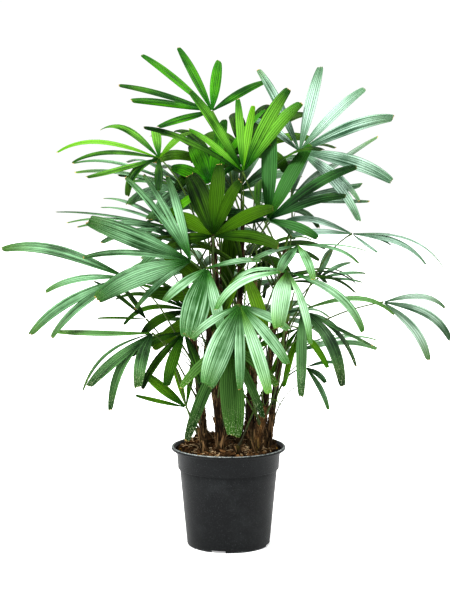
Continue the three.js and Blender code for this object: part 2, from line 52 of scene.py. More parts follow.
SEEDS = {"litter": 11, "shreds": 23, "stalks": 31, "first_cane": 100, "first_frond": 500}

# ---- Growing sizes, in millimetres as in the solids' source ----

GAP = 0.3  # between solids that rest on one another
CLEAR = 1  # round a leaflet while it looks for room
PARALLEL = 1e-9  # below this an edge counts as running along a face
REACH_SLACK = 1  # that a frond grown here may be off its solid
POT = {
    "height": 210, "rim": 120, "lip_height": 7.5, "lip_width": 11, "collar_top": 109,
    "collar_bottom": 106, "collar_height": 46, "body_top": 102.5, "body_bottom": 87, "edge_round": 4,
    "wall": 2.4, "foot_height": 5, "foot_width": 7, "boss": 14, "notch_width": 31, "notch_turn": -14.5,
    "drain_radius": 5, "drain_place": 60, "lip_round": (3.7, 3.75),
}
SOIL_TOP = 198
# Each cane's foot, its tip, and its radius at both.
CANES = {
    "cane_front_left": ((-48, -20), (-80, -34, 470), (7.5, 5.5)),
    "cane_front_mid_left": ((-16, -46), (-46, -72, 500), (9, 6)),
    "cane_mid_left": ((-16, 6), (-34, 4, 660), (8.5, 6)),
    "cane_centre": ((23, 0), (30, -4, 690), (8.5, 6)),
    "cane_front_right": ((56, -52), (74, -66, 306), (10.5, 9)),
    "cane_right_inner": ((50, -12), (56, -34, 560), (10, 6.5)),
    "cane_right": ((82, -8), (122, -26, 480), (7.5, 5.5)),
    "cane_right_back": ((70, 34), (118, 44, 620), (8.5, 6)),
    "cane_front_stub": ((18, -76), (18, -78, 226), (8, 7)),
    "cane_left_stub": ((-46, -64), (-64, -72, 262), (5.5, 4.5)),
    "cane_left_back": ((-50, 40), (-96, 66, 580), (8.5, 6)),
    "cane_back": ((-8, 66), (-14, 112, 600), (9, 6)),
    "cane_back_right": ((40, 74), (66, 126, 540), (8, 5.5)),
}
CANE_SIDES, CANE_STEPS, CANE_BOW = 7, 3, 0.05
STALK = {
    "length": 230, "rise": 0.8, "foot": 3.4, "tip": 2.4, "sides": 3, "steps": 8, "lowest": 0.35,
    "spacing": 0.05, "slide": 0.1, "bend": 0.36, "start_up": 1.5, "start_ahead": 0.8, "end_fan": 0.9,
    "rise_cost": 130, "level_cost": 0.15,
}
LEAFLET = {
    "steps": 12, "stations": (0, 3, 7, 10, 12), "widths": (0, 0.7, 1, 0.84, 0.4), "root": 2.6,
    "thick": 0.011, "least": 2.2, "start": 3.5,
}
KNOB_RADIUS = 11
# Each try is a swing in the hand, a share of the droop and a share of the length.
TRIES = (
    (0, 1, 1), (4, 1, 1), (-4, 1, 1), (0, 0.7, 1), (0, 1.35, 1), (7, 0.8, 1), (-7, 0.8, 1),
    (5, 1.5, 0.94), (-5, 1.5, 0.94), (10, 1, 0.9), (-10, 1, 0.9), (0, 0.4, 0.85), (0, 1.8, 0.8),
    (0, 1, 0.7), (12, 0.6, 0.7), (-12, 0.6, 0.7),
)
BACK = {
    "seed": 41, "count": 16, "arc": (98, 262), "low": 385, "high": 830, "reach_low": 250,
    "reach_high": 110, "leaflets": (6, 8), "spread": 165, "length": (165, 210), "width": (16, 30),
    "squash": 0.5, "taper": 0.9, "reach_stray": 25, "angle_stray": 5, "size_stray": 0.06,
    "leaf_width": (0.75, 1.25), "face_stray": 25, "tilt_low": 72, "tilt_drop": 30, "tilt_stray": 8,
    "droop": (50, 85), "tones": ("mid", "dark", "mid", "pale"),
}
GOLDEN_TURN = 0.618034


@dataclass
class Frond:
    """A hand of leaflets on its stalk.

    Each of leaves is its angle from the hand's upward line, its length, its width and, if it has one, its
    own droop. Growing fills in seat, the stalk's place on its cane, and blades.
    """

    name: str
    hub: tuple
    face: tuple
    droop: float
    tone: str
    leaves: list
    stalk: float = STALK["length"]
    seat: dict = None
    blades: list = field(default_factory=list)


FRONDS = [
    Frond("top_left", (-34, 20, 907), (30, 50), 15, "bright", [
        (-21, 212, 23), (5, 225, 25), (28, 205, 24), (57, 222, 21), (-59, 198, 19), (-72, 172, 20),
        (-103, 145, 22), (-140, 140, 28)
    ]),
    Frond("top_centre", (29, -60, 785), (15, 20), 30, "bright", [
        (-24, 200, 22), (2, 160, 18), (13, 150, 18), (29, 220, 27), (42, 210, 27), (-56, 220, 13),
        (-42, 140, 14), (-69, 170, 14)
    ]),
    Frond("top_right", (147, 30, 824), (-30, 10), 30, "pale", [
        (-30, 210, 20), (8, 180, 26), (40, 190, 23), (63, 220, 26), (97, 221, 28),
        (115, 175, 14, 42), (123, 205, 20, 54), (-54, 140, 16)
    ]),
    Frond("right_back", (130, 90, 719), (-45, 30), 60, "mid", [
        (43, 232, 20, 16), (28, 130, 16), (76, 185, 20, 0), (88, 215, 12, 0), (-5, 170, 22)
    ]),
    Frond("mid_up", (-38, -40, 760), (-30, 40), 30, "bright", [
        (10, 220, 18), (-12, 190, 30), (-36, 150, 36), (-62, 130, 28), (32, 150, 20),
        (-100, 160, 24), (-142, 130, 24)
    ]),
    Frond("left_up", (-142, -20, 812), (15, 50), 60, "bright", [
        (6, 136, 20), (37, 138, 16, 39), (-25, 194, 20, 74), (-58, 226, 15, 64),
        (-74, 182, 16, 49), (-109, 168, 15, 0), (-119, 125, 18, 105), (-169, 95, 18, 6)
    ]),
    Frond("left_pale", (-93, 40, 747), (45, 60), 60, "pale", [
        (-34, 244, 16, 46), (-53, 232, 16, 32), (-50, 140, 18, 27), (-82, 150, 28),
        (-110, 130, 26), (2, 200, 20), (25, 180, 22)
    ]),
    Frond("centre", (-31, -110, 659), (-30, 15), 40, "dark", [
        (-27, 150, 46), (-4, 150, 34), (16, 125, 30), (-62, 115, 30), (54, 140, 30),
        (-95, 120, 26), (85, 150, 26)
    ]),
    Frond("left_big", (-75, -120, 610), (30, 30), 30, "mid", [
        (-61, 228, 43, 9), (-99, 230, 42), (-76, 230, 14), (-21, 220, 16), (-11, 210, 16),
        (2, 200, 20), (-116, 170, 12)
    ]),
    Frond("left_back", (-111, 20, 665), (45, 70), 30, "mid", [
        (-50, 248, 16, 16), (-53, 226, 12, 30), (-61, 208, 12, 27), (4, 250, 20), (-14, 190, 20),
        (-84, 190, 20)
    ]),
    Frond("left_low", (-209, -60, 571), (15, 40), 45, "mid", [
        (-58, 270, 28), (-110, 240, 21), (-119, 210, 17), (-86, 170, 16)
    ]),
    Frond("low_left", (-155, -90, 460), (15, 65), 60, "dark", [
        (-84, 200, 20, 0), (-114, 206, 9, 90), (-132, 217, 24, 22), (-135, 214, 18, 130),
        (-153, 148, 26, 110)
    ]),
    Frond("front_centre", (22, -200, 531), (10, 25), 30, "pale", [
        (-116, 120, 16), (-152, 180, 50), (-176, 170, 22), (164, 185, 27), (140, 150, 24),
        (112, 110, 20)
    ]),
    Frond("front_low", (-1, -190, 456), (0, 15), 30, "dark", [
        (-154, 210, 24), (176, 190, 48), (152, 165, 18), (126, 130, 20), (-128, 130, 20)
    ]),
    Frond("right_front", (116, -190, 597), (20, 60), 90, "pale", [
        (-94, 180, 21), (-152, 150, 38), (180, 180, 18), (128, 200, 22), (-70, 120, 14)
    ]),
    Frond("right_up_front", (139, -120, 642), (0, 80), 30, "mid", [
        (-162, 140, 22), (172, 170, 20), (91, 132, 19, 65), (82, 150, 12), (-120, 110, 18)
    ]),
    Frond("right_flat", (255, 0, 655), (30, 55), 60, "pale", [
        (93, 254, 10, 68), (99, 199, 25, 67), (155, 68, 12, 0), (102, 94, 14, 38),
        (-76, 135, 20, 30), (-40, 150, 22)
    ]),
    Frond("right_low", (323, 20, 510), (0, 40), 90, "pale", [
        (72, 144, 15, 76), (100, 170, 20), (132, 160, 20)
    ]),
    Frond("right_low_mid", (148, -100, 509), (-30, 60), 80, "dark", [
        (52, 200, 18), (125, 218, 26, 115), (156, 225, 22), (114, 195, 10), (116, 218, 9, 0),
        (-85, 125, 22), (-112, 140, 22)
    ]),
    Frond("right_mid", (189, 60, 556), (30, 60), 20, "mid", [
        (40, 160, 16), (60, 140, 12), (78, 140, 12), (94, 110, 12)
    ]),
    Frond("centre_right", (80, -70, 689), (-15, 20), 35, "dark", [
        (-76, 120, 18), (-94, 130, 18), (-4, 220, 33), (20, 180, 33), (48, 210, 22), (62, 165, 18),
        (100, 110, 20)
    ]),
    Frond("low_bright", (-90, 60, 280), (0, 50), 30, "lime", [
        (-73, 112, 12, 0), (-43, 132, 26, 0), (-12, 140, 14), (6, 200, 14)
    ], stalk=90),
    Frond("hang_centre", (-43, -150, 599), (0, 20), 30, "pale", [
        (-164, 150, 54), (166, 130, 24), (74, 110, 12), (-122, 110, 20)
    ]),
    Frond("low_mid_left", (-91, -60, 458), (0, 40), 60, "dark", [
        (-112, 120, 16), (-160, 125, 24), (-138, 150, 17), (158, 130, 20)
    ]),
    Frond("left_mid_back", (-173, 40, 472), (30, 60), 20, "dark", [
        (-16, 170, 14), (-78, 106, 9, 10), (2, 130, 16)
    ]),
    Frond("lime_centre", (29, -60, 590), (0, 40), 60, "lime", [
        (-38, 150, 12), (-52, 230, 12), (-10, 140, 14), (26, 130, 14), (-162, 150, 26),
        (160, 160, 28)
    ]),
    Frond("inner_right", (148, 20, 455), (-20, 30), 40, "lime", [
        (-168, 130, 14), (-152, 115, 13), (132, 110, 14), (168, 140, 14), (-106, 110, 14)
    ]),
    Frond("right_low_back", (165, 80, 363), (-20, 50), 60, "mid", [
        (114, 60, 14), (138, 120, 12), (60, 75, 12)
    ], stalk=150),
    Frond("inner_back", (-6, 36, 505), (0, 5), 25, "dark", [
        (-150, 190, 34), (-116, 180, 32), (-76, 170, 30), (-36, 185, 32), (4, 190, 32),
        (42, 180, 30), (150, 185, 32), (-178, 185, 34)
    ], stalk=90),
]


# ---- The growing rule of the solids, worked again here ----


def unit(vector):
    return vector / np.linalg.norm(vector)


def seeded(seed):
    """Numbers from 0 to 1, the same on every run."""
    state, most = seed, 0xFFFFFFFF

    def draw():
        nonlocal state
        state = (state + 0x6D2B79F5) & most
        t = ((state ^ (state >> 15)) * (state | 1)) & most
        t = ((t + (t ^ (t >> 7)) * (t | 61)) & most) ^ t
        return (t ^ (t >> 14)) / 4294967296

    return draw


def circle(radius, sides):
    turns = [2 * math.pi * k / sides for k in range(sides)]
    return [(radius * math.sin(turn), radius * math.cos(turn)) for turn in turns]


def place(ring, section):
    """A section's points in space. A ring is its centre, its side and its depth direction."""
    centre, side, depth = ring
    return [centre + side * a + depth * b for a, b in section]


def loft(rings, sections):
    """Corners and triangles of a closed solid through the sections."""
    sides, steps = len(sections[0]), len(rings) - 1
    points = [point for ring, section in zip(rings, sections) for point in place(ring, section)]
    for end in (0, steps):
        points.append(np.mean(place(rings[end], sections[end]), axis=0))
    foot, top = len(points) - 2, len(points) - 1
    faces = []
    for k in range(sides):
        after = (k + 1) % sides
        for step in range(1, steps + 1):
            a, b = step * sides + k, (step - 1) * sides + k
            c, d = (step - 1) * sides + after, step * sides + after
            faces += [(a, b, d), (b, c, d)]
        faces += [(after, k, foot), (steps * sides + k, steps * sides + after, top)]
    return np.array(points).astype(np.float32).astype(float), np.array(faces)


class Room:
    """What is already grown, as triangles, and whether a new body has room among it."""

    def __init__(self):
        self.bodies = []

    @staticmethod
    def body(owner, shape):
        points, faces = shape
        ends = np.concatenate([faces[:, [0, 1]], faces[:, [1, 2]], faces[:, [2, 0]]])
        ends = ends[ends[:, 0] < ends[:, 1]]
        return {
            "owner": owner, "faces": points[faces], "edges": points[ends],
            "low": points.min(axis=0), "high": points.max(axis=0),
        }

    @staticmethod
    def near(shapes, low, high):
        inside = (shapes.max(axis=1) >= low) & (shapes.min(axis=1) <= high)
        return shapes[inside.all(axis=1)]

    @staticmethod
    def pierced(edges, faces):
        """Whether any of the edges passes through any of the faces."""
        if not len(edges) or not len(faces):
            return False
        start = edges[:, None, 0]
        way = edges[:, None, 1] - start
        corner = faces[None, :, 0]
        one, two = faces[None, :, 1] - corner, faces[None, :, 2] - corner
        cross = np.cross(way, two)
        facing = (one * cross).sum(axis=2)
        crossing = np.abs(facing) >= PARALLEL
        safe = np.where(crossing, facing, 1)
        u = ((start - corner) * cross).sum(axis=2) / safe
        other = np.cross(start - corner, one)
        v = (way * other).sum(axis=2) / safe
        t = (two * other).sum(axis=2) / safe
        on_face = (u >= 0) & (u <= 1) & (v >= 0) & (u + v <= 1)
        return bool((crossing & on_face & (t >= 0) & (t <= 1)).any())

    def meet(self, one, two):
        """Whether an edge of either body passes through a face of the other."""
        low, high = np.maximum(one["low"], two["low"]), np.minimum(one["high"], two["high"])
        if (low > high).any():
            return False
        near = {(k, part): self.near(body[part], low, high)
                for k, body in enumerate((one, two)) for part in ("faces", "edges")}
        return any(self.pierced(near[k, "edges"], near[1 - k, "faces"]) for k in (0, 1))

    def free(self, body):
        """Whether the body meets nothing but what its own owner has grown."""
        others = (other for other in self.bodies if other["owner"] != body["owner"])
        return not any(self.meet(body, other) for other in others)


def cane_axis(cane, share):
    """The cane's axis at a share of its height: a slight bow on a straight lean."""
    (foot_x, foot_y), top, _ = CANES[cane]
    foot, top = np.array([foot_x, foot_y, SOIL_TOP + GAP]), np.array(top, float)
    bow = CANE_BOW * (top[2] - foot[2]) * share * (1 - share)
    lean = np.array([top[0] - foot[0], top[1] - foot[1], 0.0])
    return foot + (top - foot) * share - unit(lean) * bow


def cane_radius(cane, share):
    low, high = CANES[cane][2]
    return low + (high - low) * share


def hand_frame(face):
    """The hand's n, to the light, u, upward in the blade, and r, to its right."""
    a, h = face[0] * RAD, face[1] * RAD
    n = np.array([math.cos(h) * math.sin(a), -math.cos(h) * math.cos(a), math.sin(h)])
    u = np.array([-math.sin(h) * math.sin(a), math.sin(h) * math.cos(a), math.cos(h)])
    return n, u, np.array([math.cos(a), math.sin(a), 0.0])


def in_hand(face, angle):
    _, u, r = hand_frame(face)
    return u * math.cos(angle * RAD) + r * math.sin(angle * RAD)


def turned(vector, axis, angle):
    along = axis * axis.dot(vector)
    return along + (vector - along) * math.cos(angle) + np.cross(axis, vector) * math.sin(angle)


def midrib(start, way, normal, length, droop):
    """Rings along a midrib that bends down by its own weight, most near the tip."""
    rings, at, steps = [], start, LEAFLET["steps"]
    for k in range(steps + 1):
        rings.append((at, np.cross(way, normal), normal))
        bend = droop * RAD * (2 * k + 1) / steps**2 * math.hypot(way[0], way[1])
        down = way * way[2] - UP
        at = at + way * (length / steps)
        if np.linalg.norm(down) > 1e-6:
            axis = unit(np.cross(way, unit(down)))
            way, normal = turned(way, axis, bend), turned(normal, axis, bend)
    return rings


def blade_body(owner, rings, length, width, grow):
    """The plain leaflet of the solids, which keeps the place of the finished one."""
    keel = max(LEAFLET["least"], length * LEAFLET["thick"])
    sections = []
    for share in LEAFLET["widths"]:
        half = max(share * width, LEAFLET["root"]) / 2 + grow
        sections.append([(0, -keel - grow), (-half, grow / 2), (half, grow / 2)])
    return Room.body(owner, loft([rings[k] for k in LEAFLET["stations"]], sections))


def stalk_curve(seat):
    """The stalk's axis, as a function of the share of the way from its foot to its hub."""
    start, hub = seat["start"], seat["hub"]
    reach = np.linalg.norm(hub - start) * STALK["bend"]
    low, high = start + seat["start_way"] * reach, hub - seat["end_way"] * reach

    def at(t):
        k = 1 - t
        return k**3 * start + 3 * k * k * t * low + 3 * k * t * t * high + t**3 * hub

    return at


def stalk_rings(seat, steps):
    at = stalk_curve(seat)
    flat = (seat["hub"] - seat["start"]) * (1, 1, 0)
    level = np.cross(unit(flat), UP)
    rings = []
    for k in range(steps + 1):
        share = k / steps
        way = unit(at(min(share + 0.0001, 1)) - at(max(share - 0.0001, 0)))
        side = unit(level - way * level.dot(way))
        rings.append((at(share), side, np.cross(side, way)))
    return rings


def stalk_radius(share):
    return STALK["foot"] + (STALK["tip"] - STALK["foot"]) * share


def stalk_body(owner, seat, steps, grow=GAP / 2):
    """The plain stalk of the solids, which keeps the place of the finished one."""
    radii = [stalk_radius(k / steps) + grow for k in range(steps + 1)]
    sections = [circle(radius, STALK["sides"]) for radius in radii]
    return Room.body(owner, loft(stalk_rings(seat, steps), sections))


def stalk_from(cane, share, hub, midline):
    axis = cane_axis(cane, share)
    out = np.array([hub[0] - axis[0], hub[1] - axis[1], 0.0])
    level, out = np.linalg.norm(out), unit(out)
    start = axis + out * (cane_radius(cane, share) + GAP + STALK["foot"])
    way = unit(hub - start)
    return {
        "cane": cane, "start": start, "hub": hub, "out": out, "level": level,
        "start_way": unit(out + UP * STALK["start_up"] + way * STALK["start_ahead"]),
        "end_way": unit(way + midline * STALK["end_fan"]),
    }


def rest_on_cane(room, seat):
    """Brings the stalk's foot to its cane by small steps, as near as leaves GAP between them."""
    cane = next(body for body in room.bodies if body["owner"] == seat["cane"])
    rested, slide = seat, STALK["slide"]
    while slide < STALK["foot"]:
        moved = {**seat, "start": seat["start"] - seat["out"] * slide}
        if room.meet(stalk_body("stalk", moved, STALK["steps"] // 2), cane):
            break
        rested, slide = moved, slide + STALK["slide"]
    return rested


def seat_stalk(room, frond):
    """The best free place on a cane: one that keeps the stalk's usual length and rise."""
    hub = np.array(frond.hub, float)
    midline = unit(sum(in_hand(frond.face, leaf[0]) for leaf in frond.leaves))
    choices = []
    for cane in CANES:
        share = 1.0
        while share > STALK["lowest"]:
            seat = stalk_from(cane, share, hub, midline)
            length = np.linalg.norm(hub - seat["start"])
            rise = (hub[2] - seat["start"][2]) / length
            cost = abs(length - frond.stalk) + STALK["rise_cost"] * abs(rise - STALK["rise"])
            cost += STALK["level_cost"] * seat["level"]
            choices.append((cost, len(choices), seat))
            share -= STALK["spacing"]
    for _, _, choice in sorted(choices, key=lambda entry: entry[:2]):
        seat = rest_on_cane(room, choice)
        body = stalk_body(frond.name, seat, STALK["steps"])
        if room.free(body):
            room.bodies.append(body)
            return seat
    raise ValueError(f"{frond.name} finds no seat")


def place_leaflet(room, frond, leaf):
    """The leaflet as it is meant, or swung, lifted, lowered or cut shorter until it has room."""
    angle, length, width = leaf[:3]
    droop = leaf[3] if len(leaf) > 3 else frond.droop
    normal = hand_frame(frond.face)[0]
    for swing, sag, cut in TRIES:
        way = in_hand(frond.face, angle + swing)
        start = np.array(frond.hub, float) + way * LEAFLET["start"]
        rings = midrib(start, way, normal, length * cut, droop * sag)
        body = blade_body(frond.name, rings, length * cut, width, CLEAR)
        if room.free(body):
            room.bodies.append(body)
            frond.blades.append((rings, length * cut, width))
            return


def back_fronds():
    """The fronds at the back and sides wind round the clump, the upper ones nearer and steeper."""
    random = seeded(BACK["seed"])

    def draw(low, high):
        return low + (high - low) * random()

    def stray(most):
        return draw(-most, most)

    fronds = []
    for k in range(BACK["count"]):
        height = (k + 0.5) / BACK["count"]
        bearing = BACK["arc"][0] + (BACK["arc"][1] - BACK["arc"][0]) * ((k * GOLDEN_TURN) % 1)
        reach = BACK["reach_low"] + (BACK["reach_high"] - BACK["reach_low"]) * height
        reach += stray(BACK["reach_stray"])
        count = math.floor(draw(*BACK["leaflets"]) + 0.5)
        length = draw(*BACK["length"])
        width = draw(*BACK["width"])
        leaves = []
        for j in range(count):
            share = j / (count - 1) - 0.5
            angle = share * BACK["spread"] + stray(BACK["angle_stray"])
            size = 1 - BACK["taper"] * share * share + stray(BACK["size_stray"])
            leaves.append((angle, length * size, width * draw(*BACK["leaf_width"])))
        out = bearing * RAD
        hub = (
            reach * math.sin(out) * BACK["squash"], -reach * math.cos(out),
            BACK["low"] + (BACK["high"] - BACK["low"]) * height,
        )
        facing = bearing + 180 + stray(BACK["face_stray"])
        face = (facing, BACK["tilt_low"] - BACK["tilt_drop"] * height + stray(BACK["tilt_stray"]))
        droop = draw(*BACK["droop"])
        tone = BACK["tones"][math.floor(random() * len(BACK["tones"]))]
        fronds.append(Frond(f"back_{k + 1:02d}", hub, face, droop, tone, leaves))
    return fronds


def knob_body(frond):
    corners = [np.array(frond.hub) + way * KNOB_RADIUS for way in (*np.eye(3), *-np.eye(3))]
    faces = [(a, b, c) for a in (0, 3) for b in (1, 4) for c in (2, 5)]
    return Room.body(frond.name, (np.array(corners).astype(np.float32).astype(float), np.array(faces)))


def grow_fronds():
    """All fronds and the room they fill.

    Knobs keep their places, all stalks are seated, then the front leaflets grow, then the back ones.
    """
    room = Room()
    for cane in CANES:
        rings, sections = [], []
        for k in range(CANE_STEPS + 1):
            rings.append((cane_axis(cane, k / CANE_STEPS), np.array([1.0, 0, 0]), np.array([0, -1.0, 0])))
            sections.append(circle(cane_radius(cane, k / CANE_STEPS) + GAP / 2, CANE_SIDES))
        room.bodies.append(Room.body(cane, loft(rings, sections)))
    back = back_fronds()
    for frond in FRONDS + back:
        room.bodies.append(knob_body(frond))
    for frond in FRONDS + back:
        frond.seat = seat_stalk(room, frond)
    for group in (FRONDS, back):
        for k in range(max(len(frond.leaves) for frond in group)):
            for frond in group:
                if k < len(frond.leaves):
                    place_leaflet(room, frond, frond.leaves[k])
    return FRONDS + back, room


def check_reach(frond):
    """Stops the script if the frond, grown here, doesn't keep to the place of its solid."""
    shapes = [blade_body(frond.name, *blade, 0) for blade in frond.blades]
    shapes += [stalk_body(frond.name, frond.seat, STALK["steps"] // 2, 0), knob_body(frond)]
    low = np.min([shape["low"] for shape in shapes], axis=0)
    high = np.max([shape["high"] for shape in shapes], axis=0)
    off = np.abs(np.array([low, high]) - np.array(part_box(f"frond_{frond.name}")) / MM).max()
    if off > REACH_SLACK:
        raise ValueError(f"{frond.name} is {off:.1f} mm off its solid")


# ---- Finishes ----


class Wire:
    """A socket in a finish's nodes. Arithmetic on it adds Math nodes, and node() adds any other."""

    def __init__(self, tree, socket=None):
        self.tree, self.socket = tree, socket

    def node(self, kind, settings, values, output=0):
        made = self.tree.nodes.new(f"ShaderNode{kind}")
        for name, value in settings.items():
            if name == "stops":
                set_stops(made.color_ramp, value)
            else:
                setattr(made, name, value)
        for key, value in values.items():
            if isinstance(value, Wire):
                self.tree.links.new(value.socket, made.inputs[key])
            else:
                made.inputs[key].default_value = value
        return Wire(self.tree, made.outputs[output]) if made.outputs else None

    def math(self, operation, *values):
        return self.node("Math", {"operation": operation}, dict(enumerate(values)))

    def __add__(self, other):
        return self.math("ADD", self, other)

    def __sub__(self, other):
        return self.math("SUBTRACT", self, other)

    def __rsub__(self, other):
        return self.math("SUBTRACT", other, self)

    def __mul__(self, other):
        return self.math("MULTIPLY", self, other)

    def __pow__(self, other):
        return self.math("POWER", self, other)

    def __rpow__(self, other):
        return self.math("POWER", other, self)

    __radd__, __rmul__ = __add__, __mul__


def set_stops(ramp, stops):
    while len(ramp.elements) < len(stops):
        ramp.elements.new(1)
    for element, (position, colour) in zip(ramp.elements, stops):
        element.position, element.color = position, (*colour, 1)


def new_finish(name):
    """A material with its nodes cleared, as a Wire to build on."""
    material = bpy.data.materials.new(name)
    material.use_nodes = True
    material.node_tree.nodes.clear()
    return material, Wire(material.node_tree)


def close_finish(start, colour, roughness, normal=None, **fixed):
    """Ends a finish in one Principled surface. fixed sets its sockets that are named with spaces."""
    values = {"Base Color": colour, "Roughness": roughness}
    if normal is not None:
        values["Normal"] = normal
    values.update({name.replace("_", " "): value for name, value in fixed.items()})
    surface = start.node("BsdfPrincipled", {}, values)
    start.node("OutputMaterial", {"is_active_output": True}, {"Surface": surface})


def place_of(start):
    """Object coordinates, in metres."""
    return start.node("TexCoord", {}, {}, "Object")


def part_of(start, vector, axis):
    return start.node("SeparateXYZ", {}, {"Vector": vector}, axis)


def shade_of(start):
    """The tone from 0 to 1 that Heap deals out to each small shape."""
    return start.node("Attribute", {"attribute_name": "shade"}, {}, "Fac")


def noise(start, where, scale, detail=3, roughness=0.5, stretch=(1, 1, 1)):
    spot = start.node("Mapping", {}, {"Vector": where, "Scale": stretch})
    values = {"Vector": spot, "Scale": scale, "Detail": detail, "Roughness": roughness}
    return start.node("TexNoise", {}, values)


def blend(start, factor, one, two):
    ends = [(*end, 1) if isinstance(end, tuple) else end for end in (one, two)]
    return start.node("Mix", {"data_type": "RGBA"}, {0: factor, 6: ends[0], 7: ends[1]}, 2)


def between(start, value, low, high):
    """0 up to low, 1 from high on, and smooth from one to the other. low may be the larger value."""
    values = {"Value": value, "From Min": low, "From Max": high}
    return start.node("MapRange", {"interpolation_type": "SMOOTHSTEP"}, values)


def bump(start, height, distance):
    """Relief that rises distance, in metres, as height goes from 0 to 1."""
    return start.node("Bump", {}, {"Height": height, "Distance": distance})


@dataclass
class LeafLook:
    """How a leaf is coloured.

    deep is the darker colour and the painted shade in its grooves, fresh the colour on its ribs, and sheen
    a painted highlight in patches on its middle. young takes the place of fresh on leaflets of a light
    shade.
    shine, lines and speckle are how strongly the painted highlight, the painted groove shade and the specks
    show, gloss is the surface's own reflection, and uneven is how much leaflets differ.
    """

    deep: tuple
    fresh: tuple
    sheen: tuple
    young: tuple
    shine: float
    gloss: float
    lines: float = 0.55
    speckle: float = 0.05
    uneven: float = 0.25


YELLOWED, SPECK, BROWNED = (0.07, 0.12, 0.012), (0.36, 0.42, 0.25), (0.25, 0.2, 0.06)


def leaf_finish(name, look):
    """Satin leaf: painted shade in the grooves between lengthwise ribs, streaks, a painted sheen on its
    middle, and specks near the tip.
    """
    material, start = new_finish(name)
    where = place_of(start)
    sheet = start.node("UVMap", {"uv_map": "sheet"}, {})
    ribs, along = part_of(start, sheet, "X"), part_of(start, sheet, "Y")
    shade = shade_of(start)
    # groove is 1 along each pleat valley, where the blade folds down.
    groove = start.math("ABSOLUTE", start.math("COSINE", ribs * (2 * math.pi))) ** 9
    fine = start.math("SINE", ribs * (10 * math.pi)) * 0.5 + 0.5
    spot = start.node("CombineXYZ", {}, {"X": ribs * 2.3, "Y": along * 1.3, "Z": shade * 60})
    streak = start.node("TexNoise", {}, {"Vector": spot, "Scale": 1, "Detail": 3, "Roughness": 0.5})
    cloud = noise(start, where, 14)
    grain = noise(start, where, 520, detail=2)
    young = blend(start, between(start, shade, 0.74, 0.86), look.fresh, look.young)
    odds = (shade - 0.5) * look.uneven
    factor = between(start, odds + cloud * 0.4 + streak * 0.5 + fine * 0.1, 0.27, 0.71)
    colour = blend(start, factor, look.deep, young)
    # Painted highlight: the sheen colour laid in patches along the leaflet's middle.
    middle = between(start, along, 0.08, 0.42) * between(start, along, 1.02, 0.6)
    lit = between(start, streak * 0.5 + cloud * 0.45 + odds * 0.7, 0.3, 0.57)
    colour = blend(start, middle * lit * look.shine, colour, look.sheen)
    # Painted shade: the pleat valleys darkened towards deep.
    colour = blend(start, groove * look.lines, colour, look.deep)
    tip = between(start, along, 0.55, 1)
    colour = blend(start, tip * between(start, cloud, 0.45, 0.7) * 0.3, colour, YELLOWED)
    specks = between(start, grain, 0.57, 0.64) * tip * look.speckle
    colour = blend(start, specks, colour, SPECK)
    colour = blend(start, between(start, along, 0.975, 1.01) * 0.5, colour, BROWNED)
    roughness = streak * 0.16 + grain * 0.1 + 0.28
    relief = bump(start, fine * 0.2 + grain * 0.25 - groove * 0.8, 0.0006)
    close_finish(start, colour, roughness, relief, Specular_IOR_Level=look.gloss)
    return material


def stalk_finish():
    """Green stalk, lighter where it is dealt a lighter shade, and brown down among the canes' feet."""
    material, start = new_finish("leaf_stalk_green")
    where = place_of(start)
    shade = shade_of(start)
    streak = noise(start, where, 160, stretch=(1, 1, 0.12))
    height = part_of(start, where, "Z")
    colour = blend(start, shade * 0.8 + streak * 0.2, (0.012, 0.022, 0.004), (0.09, 0.17, 0.02))
    colour = blend(start, between(start, height, 0.3, 0.24) * 0.9, colour, (0.014, 0.008, 0.003))
    relief = bump(start, streak, 0.0004)
    close_finish(start, colour, streak * 0.2 + 0.35, relief, Specular_IOR_Level=0.15)
    return material


# The darkest and the lightest colour of each dry thing.
DRY_LOOKS = {
    "dry_tip": ((0.14, 0.08, 0.025), (0.48, 0.34, 0.13)),
    "torn_fibre": ((0.006, 0.0035, 0.0015), (0.24, 0.15, 0.072)),
    "bark_flake": ((0.0012, 0.0007, 0.0004), (0.27, 0.145, 0.06)),
    "dry_twig": ((0.08, 0.045, 0.02), (0.72, 0.55, 0.34)),
    "feed_grain": ((0.3, 0.14, 0.015), (0.62, 0.36, 0.06)),
}


def dry_finish(name):
    """Dead leaf, sheath, bark or grain: matt, streaked lengthwise, its tone dealt out by small shape."""
    dark, light = DRY_LOOKS[name]
    material, start = new_finish(name)
    where = place_of(start)
    shade = shade_of(start)
    streak = noise(start, where, 220, detail=5, roughness=0.65, stretch=(1, 1, 0.2))
    colour = blend(start, shade * 0.7 + streak * 0.5 - 0.1, dark, light)
    relief = bump(start, streak, 0.0008)
    close_finish(start, colour, streak * 0.25 + 0.65, relief, Specular_IOR_Level=0.03)
    return material


# The darkest, middle and lightest strands of each kind of cane, and how much green is among them.
CANE_LOOKS = {
    "fibrous_cane": ((0.0015, 0.0009, 0.0004), (0.03, 0.0175, 0.0085), (0.235, 0.155, 0.082), 0.3),
    "worn_tan_cane": ((0.012, 0.006, 0.002), (0.08, 0.042, 0.015), (0.36, 0.21, 0.085), 0.3),
    "young_cane": ((0.01, 0.008, 0.002), (0.06, 0.045, 0.012), (0.26, 0.2, 0.07), 0.8),
}


